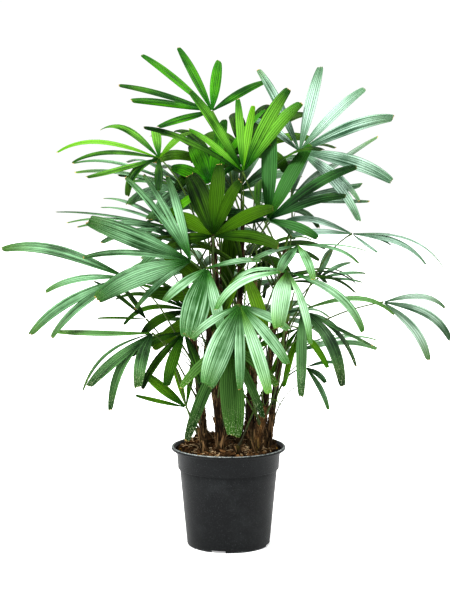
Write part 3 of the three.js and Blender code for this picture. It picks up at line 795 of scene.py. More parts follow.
def cane_finish(name):
    """Fibrous cane: near-black sheaths with tan strands, and a breath of green where it is young."""
    dark, middle, tan, green = CANE_LOOKS[name]
    material, start = new_finish(name)
    where = place_of(start)
    strand = noise(start, where, 520, detail=6, roughness=0.7, stretch=(1, 1, 0.06))
    patch = noise(start, where, 75, detail=4, stretch=(1, 1, 0.3))
    fleck = noise(start, where, 900, detail=2, stretch=(1, 1, 0.3))
    stops = [(0.4, dark), (0.52, middle), (0.66, tan)]
    colour = start.node("ValToRGB", {"stops": stops}, {"Fac": strand * 0.6 + patch * 0.4})
    colour = blend(start, between(start, patch, 0.5, 0.72) * green, colour, (0.07, 0.11, 0.012))
    relief = bump(start, strand * 0.8 + fleck * 0.3, 0.003)
    close_finish(start, colour, fleck * 0.25 + 0.68, relief, Specular_IOR_Level=0.05)
    return material


def pot_finish():
    """Black moulded plastic: fine grain, dusty clouds and streaks, a scuffed pale foot, and a pale lip
    that is partly scuffs and partly a painted highlight.
    """
    material, start = new_finish("black_pot_plastic")
    where = place_of(start)
    height = part_of(start, where, "Z")
    grain = noise(start, where, 750, detail=2)
    cloud = noise(start, where, 14, detail=5, roughness=0.6)
    scratch = noise(start, where, 120, detail=6, roughness=0.75, stretch=(1, 1, 4))
    scuff = noise(start, where, 260, detail=4, roughness=0.7)
    dust = between(start, cloud, 0.48, 0.75) * 0.4 + between(start, scratch, 0.6, 0.8) * 0.4
    colour = blend(start, dust, (0.0022, 0.003, 0.0036), (0.018, 0.021, 0.022))
    colour = blend(start, between(start, grain, 0.63, 0.7) * 0.35, colour, (0.11, 0.12, 0.12))
    # The pale band round the top of the lip is partly scuffing and partly a painted highlight where the top
    # light catches the rim; the foot's pale marks are scuffing.
    lip = between(start, height, (POT["height"] - 2.2) * MM, (POT["height"] - 0.4) * MM)
    foot = between(start, height, 5 * MM, 1 * MM)
    scuffs_and_lip_highlight = lip * between(start, scuff, 0.36, 0.54) * 0.95
    scuffs_and_lip_highlight = scuffs_and_lip_highlight + foot * between(start, scuff, 0.52, 0.62) * 0.6
    colour = blend(start, scuffs_and_lip_highlight, colour, (0.34, 0.37, 0.36))
    roughness = cloud * 0.16 + scratch * 0.14 + 0.32 + scuffs_and_lip_highlight * 0.2
    relief = bump(start, grain * 0.25 + scratch * 0.5, 0.0006)
    close_finish(start, colour, roughness, relief, Specular_IOR_Level=0.16)
    return material


def compost_finish():
    """Damp bark compost: brown crumbs, with near-black painted shade in the hollows between them."""
    material, start = new_finish("bark_compost")
    where = place_of(start)
    crumb = noise(start, where, 190, detail=8, roughness=0.7)
    clump = noise(start, where, 45, detail=3)
    # The near-black stop falls where the crumb relief is lowest: painted shade in the hollows.
    hollow, damp, bark = (0.001, 0.0006, 0.0003), (0.008, 0.004, 0.002), (0.06, 0.03, 0.012)
    stops = [(0.38, hollow), (0.55, damp), (0.72, bark)]
    colour = start.node("ValToRGB", {"stops": stops}, {"Fac": crumb * 0.7 + clump * 0.3})
    close_finish(start, colour, crumb * 0.2 + 0.75, bump(start, crumb, 0.004), Specular_IOR_Level=0.02)
    return material


def floor_finish():
    """White paper with a glow that grows with the distance from the plant."""
    material, start = new_finish("pale_floor")
    where = place_of(start)
    soft = noise(start, where, 3)
    away = start.node("VectorMath", {"operation": "LENGTH"}, {"Vector": where}, "Value")
    glow = blend(start, between(start, away, 0.3, 2.2), (0.35, 0.35, 0.35), (0.7, 0.7, 0.7))
    colour = blend(start, soft, (0.9, 0.9, 0.9), (0.93, 0.93, 0.93))
    close_finish(start, colour, soft * 0.1 + 0.7, Emission_Color=glow, Emission_Strength=1)
    return material


# ---- Making pieces ----


def metres(place_in_mm):
    return tuple(value * MM for value in place_in_mm)


def clear_selection():
    bpy.ops.object.select_all(action="DESELECT")


def pick(piece):
    """Makes the piece the active one and the only one that is selected."""
    clear_selection()
    piece.select_set(True)
    bpy.context.view_layer.objects.active = piece


def settle(piece, name, finishes, replaced=()):
    """Names the piece, gives it its finishes, and has it ride with the plant."""
    piece.name = piece.data.name = name
    piece.data.materials.clear()
    for finish in finishes:
        piece.data.materials.append(finish)
    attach(piece, "root")
    if replaced:
        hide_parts(*replaced)


def settle_shell(piece, name, finish):
    """Settles a piece made by raised, whose origin is first brought to the frame's."""
    pick(piece)
    bpy.ops.object.transform_apply(location=True, rotation=True, scale=True)
    settle(piece, name, [finish])


def smooth(piece, angle):
    pick(piece)
    bpy.ops.object.shade_smooth_by_angle(angle=angle * RAD)


def apply_all(piece):
    """Works every modifier into the piece's mesh."""
    bpy.context.view_layer.objects.active = piece
    for modifier in list(piece.modifiers):
        bpy.ops.object.modifier_apply(modifier=modifier.name)


class Heap:
    """Many small shapes that become one mesh. Points are in millimetres.

    sheet is each point's place on a leaflet, across and along, shade a shape's own tone from 0 to 1, and
    finish each face's number in the list of finishes.
    """

    def __init__(self):
        self.points, self.faces, self.sheet, self.shade, self.finish = [], [], [], [], []
        self.count = 0

    def add(self, points, faces, sheet=None, shade=0.5, finish=None):
        self.points.append(np.asarray(points))
        self.faces += [tuple(corner + self.count for corner in face) for face in faces]
        self.sheet.append(np.zeros((len(points), 2)) if sheet is None else np.asarray(sheet))
        self.shade += [shade] * len(points)
        self.finish += [0] * len(faces) if finish is None else list(finish)
        self.count += len(points)

    def piece(self, name, finishes, slot, replaced=(), angle=50):
        mesh = bpy.data.meshes.new(name)
        mesh.from_pydata((np.concatenate(self.points) * MM).tolist(), [], self.faces)
        corners = np.array([loop.vertex_index for loop in mesh.loops])
        layer = mesh.uv_layers.new(name="sheet")
        layer.data.foreach_set("uv", np.concatenate(self.sheet)[corners].ravel())
        mesh.attributes.new("shade", "FLOAT", "POINT").data.foreach_set("value", self.shade)
        piece = bpy.data.objects.new(name, mesh)
        bpy.context.collection.objects.link(piece)
        settle(piece, name, finishes, replaced)
        mesh.polygons.foreach_set("material_index", self.finish)
        smooth(piece, angle)


def raised(sides, rings):
    """A closed shell: a filled level ring at the first place, drawn on through the others."""
    clear_selection()
    (centre, radius), later = rings[0], rings[1:]
    bpy.ops.mesh.primitive_circle_add(
        vertices=sides, radius=radius * MM, fill_type="NGON", location=metres(centre))
    bpy.ops.object.mode_set(mode="EDIT")
    bpy.ops.mesh.select_mode(type="FACE")
    bpy.ops.mesh.select_all(action="SELECT")
    for to, wide in later:
        step = tuple((b - a) * MM for a, b in zip(centre, to))
        bpy.ops.mesh.extrude_region_move(TRANSFORM_OT_translate={"value": step})
        ratio = wide / radius
        bpy.ops.transform.resize(value=(ratio, ratio, 1), center_override=metres(to))
        centre, radius = to, wide
    bpy.ops.mesh.select_all(action="SELECT")
    bpy.ops.mesh.normals_make_consistent(inside=False)
    bpy.ops.object.mode_set(mode="OBJECT")
    return bpy.context.object


def turned_shell(sides, outline):
    """A closed shell round the upright axis, from its section as radius and height."""
    return raised(sides, [((0, 0, height), radius) for radius, height in outline])


# ---- Pot ----

POT_SIDES, DRAIN_SIDES = 96, 24
DRAIN_CUT = 30  # the length of the cylinder that cuts a drain hole


def pot_outline():
    """The pot's section as radius and height: underside, outside, lip, inside, floor."""
    height, wall, r = POT["height"], POT["wall"], POT["edge_round"]
    bottom, body, collar = POT["body_bottom"], POT["body_top"], POT["collar_bottom"]
    boss, foot, heel = POT["boss"], POT["foot_height"], bottom - POT["foot_width"]
    collar_foot, lip_foot = height - POT["collar_height"], height - POT["lip_height"]
    taper = (body - bottom) / (collar_foot - r)
    outline = [(boss, 0), (boss + 0.5, foot), (heel - 0.5, foot), (heel, 0.4), (heel + 0.5, 0)]
    for turn in range(0, 91, 15):
        outline.append((bottom - r + r * math.sin(turn * RAD), r - r * math.cos(turn * RAD)))
    for level in (30, 60, 90, 120, 145):
        outline.append((bottom + taper * (level - r), level))
    outline += [(body - inward, collar_foot - drop) for inward, drop in ((0.4, 4), (0.9, 2.2), (0.6, 1.2))]
    outline += [(collar - 0.7, collar_foot - 0.8), (collar - 0.1, collar_foot - 0.2)]
    outline.append((collar, collar_foot + 0.8))
    outline += [(POT["collar_top"] - 0.4, lip_foot - 2.5), (POT["collar_top"] + 1, lip_foot - 0.4)]
    wide, high = POT["lip_round"]
    for turn in range(-90, 91, 18):
        level = height - high + high * math.sin(turn * RAD)
        outline.append((POT["rim"] - wide + wide * math.cos(turn * RAD), level))
    inside = POT["rim"] - POT["lip_width"] - wall
    for outward, drop in ((8.6, 0.6), (7.4, 2.2), (5, 5), (1.6, 9), (0, 14)):
        outline.append((inside + outward, height - drop))
    outline += [(collar - wall, collar_foot + 2), (body - wall, collar_foot - 2)]
    outline += [(bottom - wall - 1, foot + wall), (6, foot + wall)]
    return outline


def cut_with(piece, cutters):
    """Cuts the shapes out of the piece and removes them."""
    for cutter in cutters:
        cut = piece.modifiers.new("cut", "BOOLEAN")
        cut.operation, cut.solver, cut.object = "DIFFERENCE", "EXACT", cutter
    apply_all(piece)
    for cutter in cutters:
        bpy.data.objects.remove(cutter)


def below_pot(reach, turn):
    """A place on the ground, in metres."""
    return reach * math.sin(turn) * MM, -reach * math.cos(turn) * MM, 0


def notch(turn):
    spot = below_pot(POT["body_bottom"] - POT["foot_width"] / 2, turn)
    clear_selection()
    bpy.ops.mesh.primitive_cube_add(size=1, location=spot, rotation=(0, 0, turn))
    cutter = bpy.context.object
    cutter.scale = metres((POT["notch_width"], POT["foot_width"] * 3, POT["foot_height"] * 2))
    return cutter


def drain(turn):
    spot, radius = below_pot(POT["drain_place"], turn), POT["drain_radius"]
    clear_selection()
    bpy.ops.mesh.primitive_cylinder_add(
        vertices=DRAIN_SIDES, radius=radius * MM, depth=DRAIN_CUT * MM, location=spot)
    return bpy.context.object


def make_pot():
    """The pot, with a notch in its foot ring and a drain hole at every quarter turn."""
    pot = turned_shell(POT_SIDES, pot_outline())
    turns = [(POT["notch_turn"] + 90 * k) * RAD for k in range(4)]
    cut_with(pot, [cutter(turn) for turn in turns for cutter in (notch, drain)])
    settle_shell(pot, "nursery_pot", pot_finish())
    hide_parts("pot")
    smooth(pot, 34)


# ---- Compost ----

# Each heap of litter: its place, its width and its height.
MOUNDS = ((-50, 42, 30, 22), (-8, 68, 26, 20), (42, 72, 26, 14), (72, 32, 28, 12), (-10, -30, 50, 3))
BED_EDGE = (111, 204)  # radius and height where the compost meets the lip's inner slope
BED_FLAT = 66  # radius from which the litter rises towards the edge
BED_SIDES = 72
FLAKES, TWIGS, GRAINS = 1500, 230, 110
TUMBLE = 0.75  # how far flakes usually lean from level, in radians


def litter_height(x, y):
    """The level at which the litter lies: rising to the edge, and heaped among and behind the canes."""
    level, (edge, edge_height) = SOIL_TOP + 1, BED_EDGE
    rise = min(max((math.hypot(x, y) - BED_FLAT) / (edge - BED_FLAT), 0), 1) ** 2
    heaps = 0
    for a, b, wide, high in MOUNDS:
        heaps += high * math.exp(-((x - a) ** 2 + (y - b) ** 2) / wide**2)
    return level + (edge_height - level) * rise + heaps * (1 - rise)


def make_bed():
    """The compost that fills the pot, with a level top at BED_EDGE's height."""
    foot = POT["foot_height"] + POT["wall"] + GAP
    collar_foot = POT["height"] - POT["collar_height"]
    wall, (edge, edge_height) = POT["wall"] + 1, BED_EDGE
    outline = [(POT["body_bottom"] - wall - 1, foot), (POT["body_top"] - wall, collar_foot - 2)]
    outline += [(POT["collar_bottom"] - wall, collar_foot + 3), (edge - 5.5, edge_height - 8)]
    outline += [(edge - step, edge_height) for step in range(0, 108, 4)]
    bed = turned_shell(BED_SIDES, outline)
    settle_shell(bed, "compost_bed", compost_finish())
    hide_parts("soil")
    smooth(bed, 60)


def shard(random, size):
    """A flake or a grain: a box with every corner pushed about, then tumbled."""
    corners = np.array([(x, y, z) for x in (-1, 1) for y in (-1, 1) for z in (-1, 1)]) * 0.5
    corners = (corners + random.uniform(-0.16, 0.16, corners.shape)) * size
    turn = mathutils.Euler((random.normal(0, TUMBLE), random.normal(0, TUMBLE), random.uniform(0, 6.28)))
    faces = [(0, 1, 3, 2), (4, 6, 7, 5), (0, 4, 5, 1), (2, 3, 7, 6), (0, 2, 6, 4), (1, 5, 7, 3)]
    return corners @ np.array(turn.to_matrix()).T, faces


def tube_faces(rows, sides):
    """The faces of a closed tube of rings that follow one another in a list of points."""
    faces = []
    for k in range(rows - 1):
        for j in range(sides):
            a, b = k * sides + j, k * sides + (j + 1) % sides
            faces.append((a, b, b + sides, a + sides))
    last = (rows - 1) * sides
    return faces + [tuple(range(sides))[::-1], tuple(range(last, last + sides))]


def ways(ends):
    """Which way a line of points runs at each of them."""
    last = len(ends) - 1
    return [unit(ends[min(k + 1, last)] - ends[max(k - 1, 0)]) for k in range(last + 1)]


def ribbon(ends, side, widths, thin, sides=6):
    """A thin strip with rounded edges through the points of ends, lying along side."""
    points = []
    for centre, way, wide in zip(ends, ways(ends), widths):
        depth = unit(np.cross(way, side))
        section = [(a * wide, b * thin) for a, b in circle(1, sides)]
        points += place((centre, np.cross(depth, way), depth), section)
    return np.array(points), tube_faces(len(ends), sides)


def rod(ends, radii, sides=5):
    """A thin stick through the points of ends."""
    points = []
    for centre, way, radius in zip(ends, ways(ends), radii):
        side = unit(np.cross(way, NEARLY_UP))
        points += place((centre, side, np.cross(side, way)), circle(radius, sides))
    return np.array(points), tube_faces(len(ends), sides)


def spot_on_bed(random, most=109):
    reach, turn = most * math.sqrt(random.random()), random.uniform(0, 2 * math.pi)
    x, y = reach * math.cos(turn), reach * math.sin(turn)
    return np.array([x, y, litter_height(x, y)])


def make_litter():
    """Bark flakes, twigs and grains of slow feed strewn over the compost."""
    random = np.random.default_rng(SEEDS["litter"])
    flakes, twigs, grains = Heap(), Heap(), Heap()
    for _ in range(FLAKES):
        long = random.gamma(3, 2.2) + 3
        size = np.array([long, long * random.uniform(0.35, 0.8), random.uniform(1.4, 3.6)])
        points, faces = shard(random, size)
        spot = spot_on_bed(random, 107 - long * 0.6) + (0, 0, random.uniform(0, 4.5))
        flakes.add(points + spot, faces, shade=random.random() ** 2.6)
    for _ in range(TWIGS):
        half = random.uniform(7, 22)
        spot = spot_on_bed(random, 106 - half) + (0, 0, random.uniform(5, 9))
        turn, rise = random.uniform(0, 6.28), random.normal(0, 0.15)
        way = np.array([math.cos(turn), math.sin(turn), rise]) * half
        bend = random.normal(0, 1.6, 3)
        thick = random.uniform(0.6, 1.2)
        twig = rod([spot - way, spot + bend, spot + way], [thick * 0.7, thick, thick * 0.5])
        twigs.add(*twig, shade=random.random() ** 0.6)
    for _ in range(GRAINS):
        points, faces = shard(random, random.uniform(1.8, 4, 3))
        grains.add(points + spot_on_bed(random, 104) + (0, 0, 2.2), faces, shade=random.random())
    flakes.piece("bark_flakes", [dry_finish("bark_flake")], "soil", angle=20)
    twigs.piece("dry_twigs", [dry_finish("dry_twig")], "soil")
    grains.piece("feed_grains", [dry_finish("feed_grain")], "soil", angle=20)


# ---- Canes ----

CANE_FACETS = 22
SHEATH_STEP = 24  # between one dead leaf sheath and the next
SHEATH_REACH = (0.7, 1.35)  # shares of that step
# Where along a sheath it has which share of the cane's radius. None is the flare at its top.
SHEATH_SHAPE = ((0.02, 0.87), (0.3, 0.92), (0.65, 0.97), (0.93, None), (0.99, 0.93))
STUB_SLIM = 0.72
SUNK = 6  # how far a cane's shell goes down below its solid
RELIEF, STUB_RELIEF, RELIEF_SIZE, RELIEF_STRETCH = 3.2, 1, 0.0035, 9
TALL = 200  # a cane longer than this narrows to its tip and bears a spear
TIP_LENGTH = 46
FIBRES_PER_MM = 0.34
SCRAPS = 22  # on each cane


def cane_height(cane):
    return cane_axis(cane, 1)[2] - cane_axis(cane, 0)[2]


def around(turn):
    """The level directions out of a cane and along its side, at a turn about it."""
    return np.array([math.sin(turn), -math.cos(turn), 0]), np.array([math.cos(turn), math.sin(turn), 0])


def any_turn(random):
    return random.uniform(0, 2 * math.pi)


def sheathed_radius(cane, share):
    """The solid's radius, halved over the last stretch of a tall cane."""
    from_tip = (1 - share) * cane_height(cane)
    narrow = max(1 - from_tip / TIP_LENGTH, 0) if cane_height(cane) > TALL else 0
    return cane_radius(cane, share) * (1 - 0.5 * narrow)


def sheath_rings(cane, random):
    """Rings of a cane wrapped in sheaths that each flare and end over the next."""
    tall = cane_height(cane)
    slim = STUB_SLIM if "stub" in cane else 1
    rings = [(cane_axis(cane, 0) - UP * SUNK, cane_radius(cane, 0) * 0.98 * slim)]
    height = 0.0
    while height < tall - SHEATH_STEP * 0.6:
        step = min(SHEATH_STEP * random.uniform(*SHEATH_REACH), tall - height)
        flare = random.uniform(1.0, 1.08)
        for share, wide in SHEATH_SHAPE:
            level = (height + step * share) / tall
            rings.append((cane_axis(cane, level), sheathed_radius(cane, level) * (wide or flare) * slim))
        height += step
    tip, last = cane_axis(cane, 1), rings[-1][1]
    return rings + [(tip - UP * 1.5, last * 0.8), (tip, last * 0.3)]


def fibre_relief(piece, strength):
    """Lengthwise ridges: a cloud pattern drawn out along the height, pressed into the surface."""
    guide = bpy.data.objects.new("fibre_guide", None)
    bpy.context.collection.objects.link(guide)
    guide.scale = (1, 1, RELIEF_STRETCH)
    bpy.context.view_layer.update()
    cloud = bpy.data.textures.new("fibre_cloud", "CLOUDS")
    cloud.noise_scale, cloud.noise_depth = RELIEF_SIZE, 3
    press = piece.modifiers.new("fibres", "DISPLACE")
    press.texture, press.texture_coords, press.texture_coords_object = cloud, "OBJECT", guide
    press.strength, press.mid_level = strength * MM, 0.5
    apply_all(piece)
    bpy.data.objects.remove(guide)


def make_cane(cane, finish):
    random = np.random.default_rng(SEEDS["first_cane"] + list(CANES).index(cane))
    piece = raised(CANE_FACETS, sheath_rings(cane, random))
    settle_shell(piece, f"{cane}_sheathed", finish)
    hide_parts(cane)
    fibre_relief(piece, STUB_RELIEF if "stub" in cane else RELIEF)
    smooth(piece, 50)


def above_bed(cane):
    """How far the cane's tip is above the level of the compost."""
    return CANES[cane][1][2] - SOIL_TOP


def shred(random, cane, share, long, lift):
    """A torn fibre that lies along the cane and springs off it at one end."""
    out, side = around(any_turn(random))
    axis = cane_axis(cane, share)
    up = unit(cane_axis(cane, min(share + 0.02, 1)) - cane_axis(cane, max(share - 0.02, 0)))
    sway = random.normal(0, 0.12)
    ends = []
    for step in np.linspace(0, 1, 4):
        reach = sheathed_radius(cane, share) * 0.93 + lift * step**2
        ends.append(axis + out * reach + up * (long * step) + side * (sway * long * step**2))
    wide = random.uniform(0.35, 0.95)
    return rod(ends, [wide, wide, wide * 0.7, wide * 0.25], sides=3)


def scrap(random, cane):
    """A torn strip of an old sheath that clasps a cane near its foot and curls away at its top."""
    tall = above_bed(cane)
    low = min(random.exponential(22), tall * 0.5, 90)
    long = random.uniform(14, 40)
    out, side = around(any_turn(random))
    lift, sway = random.exponential(3), random.normal(0, 0.2)
    ends = []
    for step in np.linspace(0, 1, 4):
        share = min((low + long * step * 0.9) / tall, 1)
        reach = cane_radius(cane, share) * 0.96 + 0.5 + lift * step**2
        ends.append(cane_axis(cane, share) + out * reach + side * (sway * long * step))
    wide = random.uniform(1.2, 4)
    return ribbon(ends, side, [wide * 1.1, wide, wide * 0.8, wide * random.uniform(0.1, 0.6)], 0.35)


def make_shreds():
    """Torn fibres of the old sheaths, along every cane."""
    random = np.random.default_rng(SEEDS["shreds"])
    heap = Heap()
    for cane in CANES:
        tall = above_bed(cane)
        for _ in range(int(tall * FIBRES_PER_MM)):
            share = random.random() ** 1.2
            long = min(random.gamma(4, 4.5) + 5, tall * (1.02 - share))
            lift = random.exponential(1.6) if random.random() < 0.85 else random.uniform(5, 14)
            heap.add(*shred(random, cane, share, long, lift), shade=random.random())
        for _ in range(SCRAPS):
            heap.add(*scrap(random, cane), shade=random.random() ** 2)
    heap.piece("sheath_fibres", [dry_finish("torn_fibre")], "cane")


# ---- Leaf stalks ----

STALK_FACETS = 8
STALK_RINGS = 18
STALK_RADII = (2.3, 1.5)
# How much thicker a stalk is at its clasping foot and at its hand, and how soon that is over.
CLASP, SWELLING = (0.9, 26), (0.8, 40)
STALK_SHADE = {"mid": 0.3, "bright": 0.6, "pale": 0.35, "dark": 0.2, "lime": 0.85}
BARE_STALKS = 6  # at most, on each tall cane
ROOM_TRIES = 10
# A young shoot on top of the short front cane: the points of each blade past its foot, and its half width.
SPROUT_FOOT = (74, -66, 303)
SPROUT = (
    (((84, -70, 322), (99, -75, 319), (116, -79, 298)), 2.4),
    (((70, -68, 322), (70, -70, 338), (75, -72, 356)), 1.8),
    (((66, -70, 316), (56, -73, 322), (44, -75, 318)), 1.6),
)
SPROUT_SIDE = (0.3, 1, 0.5)


def bare_stalk(random, cane):
    """A stalk that has dropped its leaves: up beside its cane, then away to one side."""
    share, long = random.uniform(0.15, 0.85), random.uniform(90, 200)
    out, _ = around(any_turn(random))
    lean = random.uniform(0.15, 0.7)
    foot = cane_axis(cane, share) + out * (sheathed_radius(cane, share) * 0.9)
    steps, ends = np.linspace(0, 1, 6), []
    for step in steps:
        away, up = long * lean * step**1.6, long * step * (1 - 0.3 * step)
        ends.append(foot + out * away + UP * up)
    thick = random.uniform(0.9, 1.5)
    return rod(ends, [thick * (1.3 - 0.6 * step) for step in steps])


def as_triangles(faces):
    return np.array([(face[0], face[k], face[k + 1]) for face in faces for k in range(1, len(face) - 1)])


def place_in_room(room, random, cane, shape):
    """One shape, drawn anew until it stands clear of the plain leaves, stalks and other canes, or none."""
    for _ in range(ROOM_TRIES):
        points, faces = shape(random, cane)
        body = Room.body(cane, (points, as_triangles(faces)))
        if room.free(body):
            room.bodies.append(body)
            return [(points, faces)]
    return []


def spear(random, cane):
    """The unopened leaf that rises from a cane's tip."""
    tip, long = cane_axis(cane, 1), random.uniform(46, 80)
    way = unit(tip - cane_axis(cane, 0.9)) + np.append(random.normal(0, 0.06, 2), 0)
    return rod([tip - way * 30, tip, tip + way * (long * 0.5), tip + way * long], [2, 3, 2.2, 0.4], 6)


def leaf_stalk(frond):
    """The stalk from its cane to its hand, with a clasping foot and a small swollen end."""
    seat = frond.seat
    inner = {**seat, "start": seat["start"] - seat["out"] * (STALK["foot"] + 1.5)}
    rings = stalk_rings(inner, STALK_RINGS)
    points = []
    for k, ring in enumerate(rings):
        share = k / (len(rings) - 1)
        radius = STALK_RADII[0] + (STALK_RADII[1] - STALK_RADII[0]) * share
        clasp = CLASP[0] * math.exp(-share * CLASP[1])
        swelling = SWELLING[0] * math.exp((share - 1) * SWELLING[1])
        radius *= 1 + clasp + swelling
        points += place(ring, [(a, b * 0.85) for a, b in circle(radius, STALK_FACETS)])
    return points, tube_faces(len(rings), STALK_FACETS)


def sprout_blade(ends, wide):
    ends = [np.array(end, float) for end in (SPROUT_FOOT, *ends)]
    return ribbon(ends, unit(np.array(SPROUT_SIDE)), [wide * 0.4, wide, wide * 0.8, 0.5], 0.4)


def make_stalks(fronds, room):
    """All thin green things in one piece: leaf stalks, spears, bare stalks and the young shoot."""
    random = np.random.default_rng(SEEDS["stalks"])
    heap = Heap()
    for frond in fronds:
        heap.add(*leaf_stalk(frond), shade=STALK_SHADE[frond.tone] + random.uniform(-0.12, 0.12))
    tall_canes = [cane for cane in CANES if cane_height(cane) > TALL]
    for kind, times, shades in ((spear, 1, (0.4, 0.8)), (bare_stalk, BARE_STALKS, (0, 0.35))):
        for cane in tall_canes * times:
            for shape in place_in_room(room, random, cane, kind):
                heap.add(*shape, shade=random.uniform(*shades))
    for blade in SPROUT:
        heap.add(*sprout_blade(*blade), shade=0.8)
    replaced = [f"frond_{frond.name}" for frond in fronds]
    heap.piece("leaf_stalks", [stalk_finish()], "leaf_dark", replaced)


# ---- Leaflets ----

PLEAT = 8.4  # from one fold of a leaflet to the next
PLEAT_DEPTH = 0.8
LEAF_THICK = 0.5
LEAST_WIDTH = 3.2
ARCH, TWIST, SLANT = (0.05, 0.3), 0.16, 0.12
TORN_SHARE = 0.06  # of a leaflet's length, at its tip
DRY_TIPS = 0.75  # the share of leaflets whose tip is dry
# A leaflet's rows, as shares of its length.
SHARES = (
    0, 0.03, 0.07, 0.12, 0.18, 0.25, 0.33, 0.41, 0.49, 0.57, 0.65, 0.73, 0.8, 0.86, 0.91, 0.945, 0.97,
    0.985, 1,
)
# A leaflet's width at shares of its length, as a share of its full width.
OUTLINE = (
    (0, 0.16), (0.06, 0.29), (0.14, 0.5), (0.25, 0.74), (0.38, 0.93), (0.5, 1), (0.6, 1), (0.72, 0.94),
    (0.82, 0.83), (0.9, 0.69), (0.96, 0.55), (1, 0.38),
)


def points_across(width):
    """How many points a row of the leaflet's top has: two for each pleat, and one more."""
    return 2 * max(2, round(width / PLEAT)) + 1


def ring_at(rings, share):
    """The ring at a share of the midrib, on a smooth curve through the rule's own rings."""
    steps = len(rings) - 1
    k = min(int(share * steps), steps - 1)
    t = share * steps - k
    before, a, b, after = (rings[min(max(j, 0), steps)][0] for j in (k - 1, k, k + 1, k + 2))
    bend = (2 * a + (b - before) * t + (2 * before - 5 * a + 4 * b - after) * t**2
            + (3 * a - before - 3 * b + after) * t**3) / 2
    side, depth = (unit(rings[k][j] * (1 - t) + rings[k + 1][j] * t) for j in (1, 2))
    return bend, side, depth


def leaflet(rings, width, random):
    """A finished leaflet: pleated, arched across, a little twisted, and torn at its blunt tip."""
    count = points_across(width)
    across = np.linspace(-1, 1, count)
    alternate = np.where(np.arange(count) % 2, 1.0, -1.0)
    arch = random.uniform(*ARCH)
    twist = random.normal(0, TWIST)
    slant = random.uniform(-SLANT, SLANT) * width
    teeth = random.uniform(0.2, 1, count) * (1.2 + width * 0.075) + np.where(alternate > 0, 0, 1.6)
    teeth += slant * across + abs(slant)
    shares, wide = zip(*OUTLINE)
    points, sheet = [], []
    for share in SHARES:
        centre, side, depth = ring_at(rings, share)
        way = np.cross(depth, side)
        half = max(np.interp(share, shares, wide) * width, LEAST_WIDTH) / 2
        roll = twist * share
        side, depth = turned(side, way, roll), turned(depth, way, roll)
        fold = PLEAT_DEPTH * min(1, half / 5) * (1 - share**6 * 0.7)
        level = -arch * half * across**2 + fold * alternate * (1 - across**8)
        thick = LEAF_THICK * (1 - across**6) / 2
        back = teeth * max(0.0, share - (1 - TORN_SHARE)) / TORN_SHARE
        row = centre + np.outer(across * half, side) + np.outer(level, depth) - np.outer(back, way)
        points += [*(row + np.outer(thick, depth)), *(row - np.outer(thick, depth))[1:-1][::-1]]
        strip = np.stack([(across + 1) * (count // 2) / 2, np.full(count, share)], axis=1)
        sheet += [*strip, *strip[1:-1][::-1]]
    return np.array(points), leaflet_faces(count), sheet


def leaflet_faces(wide):
    """The faces of a leaflet that is wide points across. Each row loops over its top and back under."""
    loop, rows = 2 * wide - 2, len(SHARES)
    faces = []
    for k in range(rows - 1):
        for j in range(loop):
            a, b = k * loop + j, k * loop + (j + 1) % loop
            faces.append((a, a + loop, b + loop, b))
    for row, way in ((0, 1), (rows - 1, -1)):
        for j in range(wide - 1):
            under = [(loop - j) % loop, loop - j - 1]
            corners = [row * loop + j, row * loop + j + 1] + [row * loop + u for u in under[::-1]]
            faces.append(tuple(dict.fromkeys(corners))[::way])
    return faces


def tip_finishes(faces, wide, random):
    """Finish 1, the dry one, on some strips of the last row, and finish 0 on all others."""
    loop, rows = 2 * wide - 2, len(SHARES)
    finish = np.zeros(len(faces), int)
    if random.random() < DRY_TIPS:
        strips = random.random(loop) < random.uniform(0.3, 1)
        strips = strips | strips[::-1]
        first = (rows - 2) * loop
        finish[first:first + loop] = strips
        finish[-(wide - 1):] = 1
    return finish


def make_leaves(frond, finishes, number):
    """One frond's hand of leaflets, in place of its solid."""
    random = np.random.default_rng(SEEDS["first_frond"] + number)
    heap = Heap()
    for rings, _, width in frond.blades:
        points, faces, sheet = leaflet(rings, width, random)
        shade = random.uniform(0.1, 0.9)
        heap.add(points, faces, sheet, shade, tip_finishes(faces, points_across(width), random))
    look = finishes[OWN_LOOK.get(frond.name, frond.tone)]
    slot, replaced = f"leaf_{frond.tone}", [f"frond_{frond.name}"]
    heap.piece(f"leaves_{frond.name}", [look, finishes["tip"]], slot, replaced, 65)


